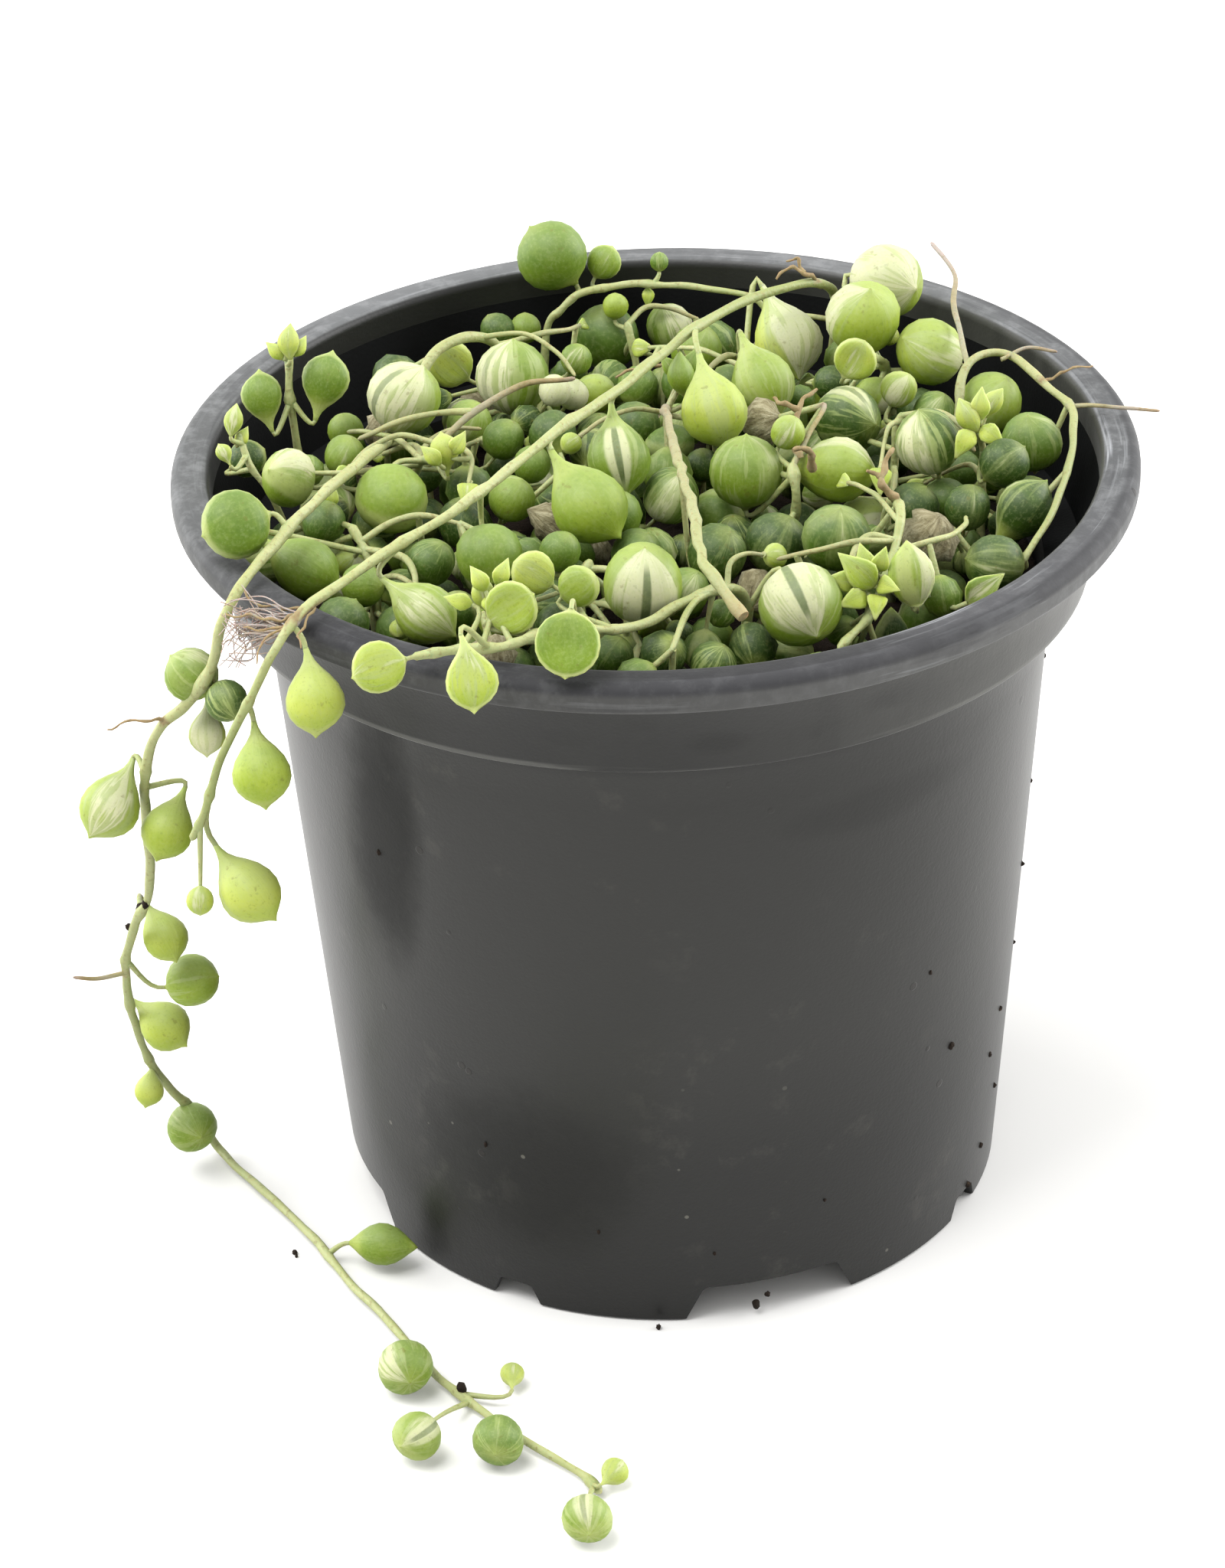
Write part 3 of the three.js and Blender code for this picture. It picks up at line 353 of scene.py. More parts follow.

# Each strand is a stem that roots in the soil, with its leaves as x, y, z, radius, form and lead,
# and then how the leaf looks: tint, cream, side, streak, slit, rim, aim and lean.
# The tint runs from yellow green to deep green. Cream is the share of the leaf that is cream, and
# the side is where round the leaf its middle is, in degrees from the front. Streak is how strong its
# fine stripes are, slit is the dark line between two cream stripes, and rim is how flat the leaf is
# drawn, hollowed past a half, and how strong a painted pale highlight runs along its outline as seen
# from the front. The aim is where the tip points in the front view, in degrees from the right, and
# the lean is how far the tip comes forward.
STRANDS = [
    {
        "name": "strand_over_front_left",
        "stem": 1.7,
        "route": [
            [20.5, 33], [22, 33.4, 90], [19.2, 27.4, 96], [11.8, 20.8, 97.4], [4.4, 11.3, 98],
            [-4.5, -2.8, 97.8], [-11.4, -11.2, 97.2], [-19.7, -22, 95.8], [-27.8, -28.7, 94],
            [-36.6, -37.4, 92], [-39.6, -41, 89.6], [-41.5, -41.5, 86.4], [-43.4, -41.5, 82.6],
            [-45.7, -41, 77.8], [-47.4, -40.4, 73.2], [-48.5, -39.8, 69.5], [-49.8, -39.4, 66.8],
        ],
        "leaves": [
            [6.5, 2, 93, 3.6, "drop", 8, 0.12, 0.08, -90, 0.5, 0, 0.35, -73, 5],
            [-4, -6.5, 92, 3.5, "drop", 4, 0.58, 0.1, 0, 0.6, 1, 0, -80, 15],
            [-7.3, -16.5, 91.5, 4, "drop", 6, 0.42, 0, 0, 0.1, 0, 0, -50, 15],
            [-18, -23, 89.8, 3.4, "round", 2, 0.6, 0, 0, 0.1, 0, 0, -80, 35],
            [-24.6, -32.7, 88.5, 3.2, "drop", 3, 0.42, 0.2, 0, 0.8, 0, 0.3, -38, 5],
            [-35.6, -43.2, 85.5, 3.1, "round", 5, 0.06, 0, 0, 0.2, 0, 0.5, -85, 5],
            [-41.8, -43.4, 76.5, 3, "drop", 6, 0.26, 0, 0, 0.2, 0, 0.3, -82, 5],
            [-44.8, -41, 60.8, 3.3, "drop", 6, 0, 0.08, 80, 0.2, 0, 0, -50, 0],
            [-48.9, -41.5, 60.4, 1.5, "bead", 2, 0.05, 0.2, 0, 0.3, 0, 0.6, -90, 0],
        ],
    },
    {
        "name": "strand_trailing_left",
        "stem": 1.6,
        "route": [
            [-16, 27], [-16.4, 26.4, 89], [-19.8, 22.9, 93], [-24.5, 18, 92.6], [-27.6, 11, 87.2],
            [-29.5, 2, 90.4], [-36.3, -16.6, 93.3], [-40.1, -24.2, 92.5], [-43.2, -30.1, 91.5],
            [-45.2, -33.2, 89.2], [-46.4, -32.9, 85], [-48.2, -32, 80.6], [-50.4, -31, 77.4],
            [-52.8, -30.3, 75.2], [-54.3, -29.4, 72], [-55.4, -28, 67.6], [-56, -25.4, 61],
            [-56.4, -22, 52.2], [-57.4, -19.5, 46.8], [-59.2, -17.5, 42.2], [-60.7, -15, 37],
            [-61.3, -12.5, 31.8], [-61.3, -10, 25.4], [-60.4, -7.5, 18.2], [-58.6, -6, 12.8],
            [-56.2, -4.5, 8.4], [-54.6, -2.6, 3.4], [-53.4, -2.8, 1.2], [-51.2, -6.6, 1],
            [-47.7, -11.6, 1], [-41.8, -21, 1], [-37.3, -30, 1], [-32.6, -37.7, 1],
            [-27.5, -47.2, 1], [-22.3, -53.8, 1], [-18.3, -58.7, 1], [-12.3, -64.5, 1],
            [-10.4, -67.6, 1.1],
        ],
        "leaves": [
            [-27.3, 11.3, 91.5, 4, "round", 3, 0.4, 0.72, -40, 0.9, 0.8, 0, 60, 20],
            [-39.4, -6, 91, 3.2, "round", 2, 0.5, 0.35, 70, 0.2, 0, 0.6, 160, 50],
            [-44.2, -22.4, 94.2, 3.6, "round", 3, 0.68, 0, 0, 0.2, 0, 0.6, 200, 20],
            [-49.4, -29.6, 80.6, 2.8, "round", 2, 0.56, 0.2, 60, 0.6, 0, 0.2, 140, 10],
            [-45.6, -33.6, 79.6, 2.2, "bead", 1, 0.92, 0.1, 0, 0.6, 0, 0, -60, 20],
            [-48.3, -29.6, 73.4, 2, "drop", 5, 0, 0.5, 0, 0.4, 0, 0.3, -90, 0],
            [-59.1, -29.5, 64.8, 3.2, "drop", 3, 0.25, 0.3, 0, 0.9, 0, 0.2, -120, 10],
            [-53.4, -29.4, 61.6, 2.8, "drop", 3, 0.2, 0, 0, 0.2, 0, 0, -110, 10],
            [-56.1, -15.6, 39.4, 2.6, "drop", 5, 0.14, 0, 0, 0.2, 0, 0.2, -62, 15],
            [-53.8, -13.6, 32.2, 3, "round", 3, 0.4, 0.1, -120, 0.7, 0, 0, 12, 15],
            [-57.6, -11, 24.4, 2.8, "drop", 3, 0.12, 0, 0, 0.2, 0, 0.2, -40, 15],
            [-60.4, -8.6, 14, 1.7, "drop", 3, 0, 0, 0, 0.2, 0, 0.4, -100, 5],
            [-56.2, -6, 6.8, 2.9, "round", 2, 0.55, 0.06, 0, 0.5, 0, 0, -50, 10],
            [-34, -25.4, 2.9, 2.4, "long", 4, 0.5, 0, 0, 0.3, 0, 0, -8, 4],
            [-31, -48.2, 3.4, 3, "round", 3, 0.56, 0.26, 40, 1, 0, 0, -72, 4],
            [-29.6, -59.8, 3.1, 2.7, "round", 3, 0.45, 0.2, 0, 0.5, 0.8, 0.4, 215, 4],
            [-20.9, -61.1, 3.1, 2.8, "round", 2, 0.68, 0.05, 0, 0.5, 0, 0.2, -100, 4],
            [-19.4, -48.1, 1.8, 1.4, "drop", 2, 0.05, 0.1, 0, 0.2, 0, 0.6, 80, 4],
            [-11.7, -74.3, 3, 2.7, "round", 1, 0.5, 0.2, 10, 1, 0.6, 0.3, -92, 4],
            [-8.6, -65.6, 1.9, 1.5, "drop", 1, 0.1, 0.15, 0, 0.4, 0, 0.5, 40, 4],
        ],
        "twigs": [{"stem": 0.8, "route": [[-61, -13.4, 33.4], [-64, -14.6, 33.6], [-66.6, -15.2, 34.2]]}],
    },
    {
        "name": "strand_back_arch",
        "stem": 1.2,
        "route": [
            [-12, 36.2], [-11.3, 37.5, 86.5], [-9.6, 37.7, 89], [-7.3, 38.5, 90.5], [-2.7, 39.3, 91],
            [1.8, 39.4, 91], [7.2, 37.6, 91], [12.4, 34.8, 91], [14.6, 33.4, 89],
        ],
        "leaves": [
            [-10.1, 42.9, 93.4, 4, "round", 3, 0.66, 0, 0, 0.12, 0, 0, 130, 15],
            [-4.6, 44.3, 91.8, 2, "bead", 1, 0.5, 0.05, 0, 0.3, 0, 0.6, 60, 10],
            [2, 40.6, 93.2, 1.1, "bead", 0.5, 0.7, 0.1, 0, 0.3, 0, 0, 90, 0],
        ],
        "under": 2,
    },
    {
        "name": "strand_right_arc",
        "stem": 1.4,
        "route": [
            [33.6, 7], [33.6, 7.6, 88], [35.2, 13.1, 92], [39.4, 15.7, 92], [43.1, 9.3, 91.3],
            [45.6, 4.3, 90.7], [45.3, -1.5, 90.3], [44.3, -7.5, 90], [41.6, -16.6, 89.3],
            [39.2, -22, 88.4], [36.6, -25.4, 86.6],
        ],
        "leaves": [
            [41.2, 2.2, 87.6, 3.3, "round", 3, 0.72, 0.12, 90, 0.4, 0, 0, 100, 40],
            [38.8, -12.4, 87.6, 3.1, "drop", 5, 1, 0.15, -70, 0.3, 0, 0, 52, 10],
            [34.6, -24.2, 87, 3.1, "round", 2, 1, 0.06, 0, 0.2, 0, 0, 172, 15],
            [37.8, 12.3, 87.6, 3.5, "round", 2, 0.42, 0.12, 0, 0.3, 0, 0, 60, 35],
        ],
        "twigs": [
            {
                "stem": 1,
                "route": [
                    [35.2, 13.1, 92], [34.7, 18.6, 93.6], [34.4, 22.6, 94.8], [35, 28.2, 96],
                    [33, 34.4, 97],
                ],
            },
            {
                "stem": 0.7,
                "route": [[45.6, 4.3, 90.7], [48.4, 3.3, 91.2], [51.4, 2.3, 91.2], [54.6, 1.2, 91.4]],
            },
            {"stem": 0.7, "route": [[39, 14.2, 91.9], [41.8, 15.8, 92.4], [45, 15, 92.2]]},
        ],
        "under": 2,
    },
    {
        "name": "shoot_left_upright",
        "stem": 1.2,
        "route": [[-38, 8.5], [-39.2, 7.8, 89], [-39.5, 7.6, 94], [-39.4, 8, 99.2]],
        "leaves": [
            [-42.6, 7.2, 94.4, 2.3, "drop", 1, 0.62, 0, 0, 0.2, 0, 0.6, 100, 5],
            [-35.6, 8.6, 95.4, 2.6, "drop", 2, 0.66, 0, 0, 0.2, 0, 0.6, 75, 5],
            [-39.3, 8.1, 100.2, 1.2, "long", 1.5, 0, 0.1, 0, 0.2, 0, 0.5, 90, 0],
        ],
        "under": 1,
    },
    {
        "name": "shoot_left_low",
        "stem": 1,
        "route": [[-38.5, -3], [-41.5, -3.6, 87.5], [-43.6, -2.8, 91], [-44.6, -1.4, 94]],
        "leaves": [
            [-44.2, 1.2, 89.8, 2.1, "bead", 1, 1, 0, 0, 0, 0, 0.4, 30, 10],
            [-45.2, -1.2, 95.6, 1.1, "long", 1, 0.1, 0.2, 0, 0.2, 0, 0.6, 80, 0],
            [-46.2, -4.6, 93.6, 0.9, "drop", 1, 0.1, 0.2, 0, 0.2, 0, 0.6, 120, 0],
        ],
        "under": 1,
    },
    {
        "name": "strand_over_front_lip",
        "stem": 1.4,
        "route": [
            [8.5, -27], [8.3, -28.6, 86.5], [5.6, -31, 89], [1.6, -34.6, 89.6], [-1.6, -37.4, 89.2],
            [-4.9, -40.2, 90], [-8, -42.4, 91.4], [-12.4, -44.4, 92], [-16.7, -46.6, 92],
            [-20.6, -46.8, 92], [-25.3, -47.6, 91.8],
        ],
        "leaves": [
            [-2.2, -30.9, 90, 4.2, "round", 3, 0.4, 0.42, 8, 0.2, 1, 0, 85, 38],
            [13.9, -33.7, 88.4, 4.3, "round", 3, 0.5, 0.42, 0, 0.7, 1, 0, -65, 35],
            [-10.1, -50, 93.6, 3.3, "round", 4, 0.58, 0, 0, 0.2, 0, 1, -95, 10],
            [-15.6, -43.4, 94.6, 2.7, "round", 2, 0.28, 0.1, 0, 0.3, 0, 1, 30, 20],
            [-13.4, -33.5, 93.2, 2.3, "bead", 2, 0, 0.1, 0, 0.3, 0, 0.8, 150, 20],
            [-8.8, -37.6, 93.6, 2.2, "bead", 2, 0.4, 0.1, 0, 0.3, 0, 0.7, 30, 30],
            [-19.6, -53.6, 92.2, 2.6, "drop", 2, 0.15, 0.1, 0, 0.6, 0, 0.9, -82, 8],
            [-29, -49.2, 91.7, 2.7, "round", 2, 0.15, 0.1, 0, 0.4, 0, 0.9, 200, 10],
            [-18.4, -40, 94.4, 1.2, "long", 2, 0.05, 0.1, 0, 0.2, 0, 0.5, 100, 10],
        ],
        "under": 1,
    },
    {
        "name": "stub_cut_dry",
        "stem": 1.7,
        "route": [
            [1.5, 10], [1.6, 8.6, 89], [1.3, -0.6, 94.6], [1.9, -12.6, 95.8], [3, -24, 96],
            [3.8, -34.4, 94.8], [5.5, -38.6, 93.4], [7.6, -42, 91.8],
        ],
        "leaves": [
            [3.4, 7.6, 94.6, 1.6, "long", 2, 0.5, 0, 0, 0.2, 0, 0, 100, 20],
            [7.4, -19, 87, 3.2, "round", 3, 0.95, 0.06, 90, 0.3, 0, 0, 60, 40],
        ],
        "under": 2,
    },
    {
        "name": "sprig_back_right",
        "stem": 1.5,
        "route": [[27, 23], [27.4, 22.4, 84], [26.4, 19.4, 89.4], [24.6, 15.6, 92.2]],
        "leaves": [
            [27.6, 31.4, 94, 4.2, "round", 1, 0.35, 0.86, 0, 0.6, 0, 0, -20, 40],
            [24.4, 23, 93.4, 4.2, "round", 1, 0.28, 0.3, -90, 0.3, 0, 0, 80, 50],
            [32, 20, 91, 3.8, "round", 1, 0.26, 0.2, 0, 0.4, 0, 0, 160, 30],
            [22.6, 10.6, 94, 2.4, "bead", 1, 0.1, 0.1, 0, 0.2, 0, 1, 60, 30],
            [20.4, 19, 87.4, 2, "bead", 1, 1, 0, 0, 0.2, 0, 0, 0, 20],
        ],
        "under": 4,
    },
    {
        "name": "sprig_back_centre",
        "stem": 1.4,
        "route": [[10.5, 24], [10.6, 22.4, 85], [10.4, 19, 90.6], [10.2, 15.4, 93]],
        "leaves": [
            [12.4, 12.2, 91, 3.6, "drop", 2, 0.42, 0.1, -60, 0.5, 0, 0.3, -65, 15],
            [16, 26, 89.4, 3.9, "drop", 2, 0.02, 0.62, -50, 0.7, 0, 0, -71, 15],
            [5.8, 31, 86.4, 3, "round", 1, 0.5, 0.06, 0, 0.3, 0, 0, 60, 30],
            [4, 22, 86.6, 2.6, "round", 1, 0.85, 0, 0, 0.1, 0, 0, 60, 30],
        ],
        "under": 4,
    },
    {
        "name": "sprig_right_centre",
        "stem": 1.3,
        "route": [[26, 2.6], [26.2, 2.6, 84], [26.4, 2.4, 88.6], [27, 3, 91]],
        "leaves": [
            [21.6, 7.8, 88.8, 3.7, "round", 1, 0.95, 0.1, -60, 0.5, 0.8, 0, -10, 40],
            [27.4, 10.8, 90.4, 2.1, "bead", 1, 0.3, 0.25, 0, 0.2, 0, 0.6, 60, 30],
            [31.4, 10.4, 87.6, 2.4, "bead", 1, 0.75, 0.15, 0, 0.5, 0, 0, 60, 30],
            [29.4, -3.4, 91, 3.6, "round", 1, 0.9, 0.3, -40, 0.8, 0, 0, 110, 25],
            [27.6, -8.4, 85.6, 2.8, "round", 1, 1, 0, 0, 0, 0, 0, 60, 30],
        ],
        "under": 3,
    },
    {
        "name": "sprig_right_edge",
        "stem": 1.2,
        "route": [[35, -5], [35.2, -4.4, 84], [35.4, -3.4, 89], [34.8, -4, 92.6]],
        "leaves": [
            [33.6, -4.6, 94.4, 1.3, "long", 1, 0, 0.1, 0, 0.2, 0, 0.3, 120, 10],
            [36.4, -2.2, 94.8, 1.1, "long", 1, 0, 0.1, 0, 0.2, 0, 0.3, 60, 10],
            [37.4, -7.8, 90, 2.7, "round", 1, 1, 0.05, 0, 0.2, 0, 0, 40, 20],
            [33, -11.6, 87.2, 2.5, "round", 1, 1, 0.05, 0, 0.1, 0, 0, 80, 30],
            [40.4, -4, 84, 2.5, "round", 1, 1, 0.05, 0, 0.3, 0, 0, 60, 30],
        ],
        "under": 3,
    },
    {
        "name": "sprig_centre",
        "stem": 1.4,
        "route": [[14.4, -8], [14.6, -9, 84], [14.8, -9.6, 88.6], [14.6, -8, 91]],
        "leaves": [
            [9.9, -5.4, 89.4, 3.9, "round", 1, 0.54, 0.1, 50, 0.6, 0, 0, 90, 20],
            [14, -5.2, 93.4, 1.9, "bead", 0, 0.35, 0.1, 0, 0.3, 0, 0.3, 60, 30],
            [19.6, -6, 89.2, 3.7, "drop", 1, 0.35, 0.22, -75, 0.3, 0, 0, -5, 10],
            [11, -17.6, 86.4, 3.3, "round", 1, 1, 0.06, 0, 0.15, 0, 0, 60, 30],
        ],
        "twigs": [
            {
                "stem": 0.8,
                "route": [[14.6, -8, 91], [16.6, -4.4, 93.2], [18.2, -0.6, 93.8], [18.6, 2.4, 93]],
            },
        ],
        "under": 4,
    },
    {
        "name": "sprig_front_right",
        "stem": 1.5,
        "route": [
            [24.5, -13], [24.2, -12.6, 87], [24.8, -17.6, 91.4], [25, -22, 92], [24, -26.6, 90.4],
            [21.4, -33.4, 87.4], [17.6, -38.6, 86],
        ],
        "leaves": [
            [18.3, -21, 89.2, 3.6, "round", 2, 0.84, 0.07, 12, 0.3, 0, 0.2, 88, 40],
            [28.4, -18.4, 87.6, 2.9, "round", 1, 0.6, 0.3, 0, 0.2, 0, 0, 60, 30],
            [26.4, -31.4, 90, 2.9, "long", 2, 0.36, 0.34, 75, 0.2, 0, 0.8, 100, 5],
            [20.4, -32.6, 91, 2.1, "bract", 2, 0.25, 0.1, 0, 0.2, 0, 0.6, 140, 20],
            [32.6, -30.6, 87.4, 1.7, "bract", 1, 0.5, 0.2, 0, 0.3, 0, 0.7, 40, 20],
            [15.4, -40.4, 83.6, 2.6, "round", 1, 0.7, 0.08, 0, 0.4, 0, 0, 60, 20],
        ],
        "under": 4,
    },
    {
        "name": "sprig_back_left",
        "stem": 1.3,
        "route": [[-12, 26], [-12.2, 26.6, 83], [-12.6, 27.6, 86], [-13.4, 29, 88]],
        "leaves": [
            [-15.2, 20, 89, 4.1, "round", 1, 0.55, 0.4, -55, 1, 0.4, 0, 90, 15],
            [-17, 38, 86.6, 2, "bead", 2, 0.9, 0, 0, 0.2, 0, 0, 120, 20],
            [-13.8, 41.4, 85, 1.8, "bead", 2, 0.5, 0.06, 90, 0.2, 0, 0, 90, 20],
            [-8, 27.6, 87.4, 1.8, "bead", 1, 0.6, 0.15, 0, 0.2, 0, 0, 60, 30],
            [-10.6, 15.8, 89.4, 1.8, "bead", 2, 0.3, 1.2, 0, 0.1, 0, 0, 60, 30],
            [-22.4, 27.4, 87.6, 2.8, "round", 1, 0.02, 0.1, 0, 0.3, 0, 1, 140, 30],
            [-8.6, 19.4, 87, 1.8, "bead", 1, 0.5, 1, 0, 0.1, 0, 0, 60, 30],
        ],
        "under": 4,
    },
    {
        "name": "sprig_back_wall",
        "stem": 1.2,
        "route": [[-1, 33.5], [-1, 34, 81.6], [-1.4, 34.6, 85], [-2, 35.6, 87.6]],
        "leaves": [
            [-4.4, 39.4, 84, 3.8, "round", 1, 0.82, 0, 0, 0.1, 0, 0, 100, 40],
            [-3.4, 37.6, 89.2, 1.5, "bead", 0, 0.3, 0, 0, 0.1, 0, 0, 90, 20],
            [3, 41, 84.6, 2.8, "round", 1, 0.6, 0.5, 60, 1, 0, 0, 110, 30],
        ],
        "under": 3,
    },
    {
        "name": "sprig_left",
        "stem": 1.3,
        "route": [[-27, 3], [-26.8, 2.6, 84], [-25.6, 0.6, 88.6], [-23.6, -2.2, 90.6]],
        "leaves": [
            [-28.7, -7.8, 89.2, 4, "round", 2, 0.5, 0, 0, 0.1, 0, 0.5, -95, 40],
            [-22.6, -3.6, 92.4, 1.6, "drop", 0, 0, 0, 0, 0.2, 0, 0.4, 100, 10],
            [-34, 13, 86.8, 2, "bead", 2, 0.5, 0, 0, 0.2, 0, 0, 100, 30],
            [-33.8, 5.4, 87.6, 2.3, "bead", 1, 0.5, 0.05, 0, 0.2, 0, 0, 60, 30],
            [-20.2, 13.4, 87, 2.6, "round", 1, 0.5, 0.15, 0, 0.4, 0, 0, 60, 30],
            [-16.4, 6.4, 88.4, 2.3, "bead", 1, 0.7, 0, 0, 0.2, 0, 0, 60, 30],
        ],
        "twigs": [
            {"stem": 1, "route": [[-25.6, 0.6, 88.6], [-21, 3.4, 92], [-14.4, 8.6, 93.6], [-8.6, 11, 93.2]]},
        ],
        "under": 4,
    },
    {
        "name": "sprig_front_left",
        "stem": 1.3,
        "route": [[-30.5, -18], [-30.4, -17.6, 83], [-31, -16.4, 86.6], [-32.6, -14.2, 89]],
        "leaves": [
            [-35.6, -12, 88.6, 2.4, "bead", 1, 0.9, 0.03, 0, 0.2, 0, 0, 60, 30],
            [-37.4, -18.6, 86.6, 3.4, "drop", 1, 0.55, 0, 0, 0.3, 0, 0, -30, 10],
            [-31.4, -22.6, 86.6, 2.3, "bead", 1, 0.58, 0, 0, 0.2, 0, 0, 0, 30],
            [-24.4, -18, 86.4, 2.6, "round", 1, 0.85, 0.05, 90, 0.4, 0, 0, 60, 30],
            [-33.4, -28.6, 85.4, 2.8, "round", 1, 0.9, 0, 0, 0.2, 0, 0, 60, 10],
        ],
        "under": 4,
    },
    {
        "name": "sprig_middle",
        "stem": 1.3,
        "route": [[-9, -1.5], [-9, -1.6, 83], [-9.2, -1.6, 87], [-10.4, -3, 89.6]],
        "leaves": [
            [-13.2, 1, 87.6, 2.1, "bead", 1, 0.65, 0, 0, 0.2, 0, 0, 60, 30],
            [-15.6, -6, 87.4, 2.5, "round", 1, 0.5, 0.1, -90, 0.3, 0, 0, 60, 30],
            [-11, -10.6, 86.6, 2.3, "long", 1, 0.5, 0.15, 0, 0.5, 0, 0, 150, 20],
            [1.6, -6.6, 87.4, 3.1, "round", 1, 0.8, 0.2, 0, 0.8, 0, 0, 60, 30],
            [-1.6, 12, 86.6, 2.7, "round", 1, 0.9, 0, 0, 0.3, 0, 0, 60, 30],
            [-4, 3.4, 87.4, 3, "round", 1, 0.8, 0, 0, 0.3, 0, 0, 60, 30],
        ],
        "under": 5,
    },
    {
        "name": "sprig_front",
        "stem": 1.2,
        "route": [[-8.5, -24], [-8.6, -24.2, 83.4], [-8.4, -25, 86.6], [-7.6, -24.4, 89]],
        "leaves": [
            [-10.6, -22.4, 89.6, 2.2, "bead", 0, 0.7, 0, 0, 0.2, 0, 0, 60, 30],
            [-2.6, -17.6, 86.4, 2.8, "round", 1, 0.8, 0, 0, 0.3, 0, 0, 60, 30],
            [-16.6, -30.4, 86.6, 2.8, "round", 1, 0.4, 0.05, 0, 0.3, 0, 0, 60, 30],
            [-6, -35, 84, 2.4, "bead", 1, 0.9, 0, 0, 0.3, 0, 0, 60, 30],
            [4.6, -37.6, 84, 2.4, "bead", 1, 0.9, 0.05, 0, 0.8, 0, 0, 60, 30],
            [2.4, -24.4, 85.4, 2.6, "round", 1, 0.7, 0.15, 0, 0.3, 0, 0, 60, 30],
        ],
        "under": 5,
    },
]


# Camera, light and floor

def front_view_axes():
    """Right, up and backward of the front view."""
    level_share = math.cos(PITCH)
    forward = Vector((math.sin(YAW) * level_share, math.cos(YAW) * level_share, -math.sin(PITCH)))
    level = forward.cross(Vector((0, 0, 1))).normalized()
    upright = level.cross(forward)
    right = math.cos(ROLL) * level + math.sin(ROLL) * upright
    up = math.cos(ROLL) * upright - math.sin(ROLL) * level
    return right, up, -forward


VIEW_RIGHT, VIEW_UP, VIEW_BACK = front_view_axes()


def set_camera():
    """The camera of the photograph."""
    bpy.ops.object.camera_add()
    camera = bpy.context.object
    camera.data.lens = LENS
    camera.data.clip_start = 0.01
    axes = Matrix((VIEW_RIGHT, VIEW_UP, VIEW_BACK)).transposed().to_4x4()
    camera.matrix_world = Matrix.Translation(Vector(EYE) * MM) @ axes
    bpy.context.scene.camera = camera


def soft_box(place, size, power):
    """A square lamp of a size that faces the crown of the plant."""
    bpy.ops.object.light_add(type="AREA", location=place)
    lamp = bpy.context.object
    lamp.data.size = size
    lamp.data.energy = power
    aim = Vector(LAMP_AIM) - Vector(place)
    lamp.rotation_euler = aim.to_track_quat("-Z", "Y").to_euler()


def set_studio():
    """A white room with soft lamps."""
    scene = bpy.context.scene
    scene.view_settings.view_transform = "Standard"
    world = bpy.data.worlds.new("white_room")
    world.use_nodes = True
    background = world.node_tree.nodes["Background"]
    background.inputs["Color"].default_value = (1, 1, 1, 1)
    background.inputs["Strength"].default_value = WORLD_STRENGTH
    scene.world = world
    for lamp in LAMPS:
        soft_box(*lamp)


def set_floor():
    """White paper under the pot, which isn't part of the object."""
    bpy.ops.mesh.primitive_plane_add(size=FLOOR_SIZE)
    floor = bpy.context.object
    floor.name = "floor"
    finish = Finish("white_paper")
    finish.surface({"Base Color": FLOOR_COLOR, "Roughness": 0.9})
    floor.data.materials.append(finish.material)


# How finishes are written

class Signal:
    """A socket of a finish, on which sums are written as in Python."""

    def __init__(self, finish, socket):
        self.finish = finish
        self.socket = socket

    def sum(self, operation, *values):
        return self.finish.sum_of(operation, *values)

    def __add__(self, other):
        return self.sum("ADD", self, other)

    __radd__ = __add__

    def __mul__(self, other):
        return self.sum("MULTIPLY", self, other)

    __rmul__ = __mul__

    def __sub__(self, other):
        return self.sum("SUBTRACT", self, other)

    def __rsub__(self, other):
        return self.sum("SUBTRACT", other, self)

    def __truediv__(self, other):
        return self.sum("DIVIDE", self, other)

    def __rtruediv__(self, other):
        return self.sum("DIVIDE", other, self)

    def __pow__(self, other):
        return self.sum("POWER", self, other)


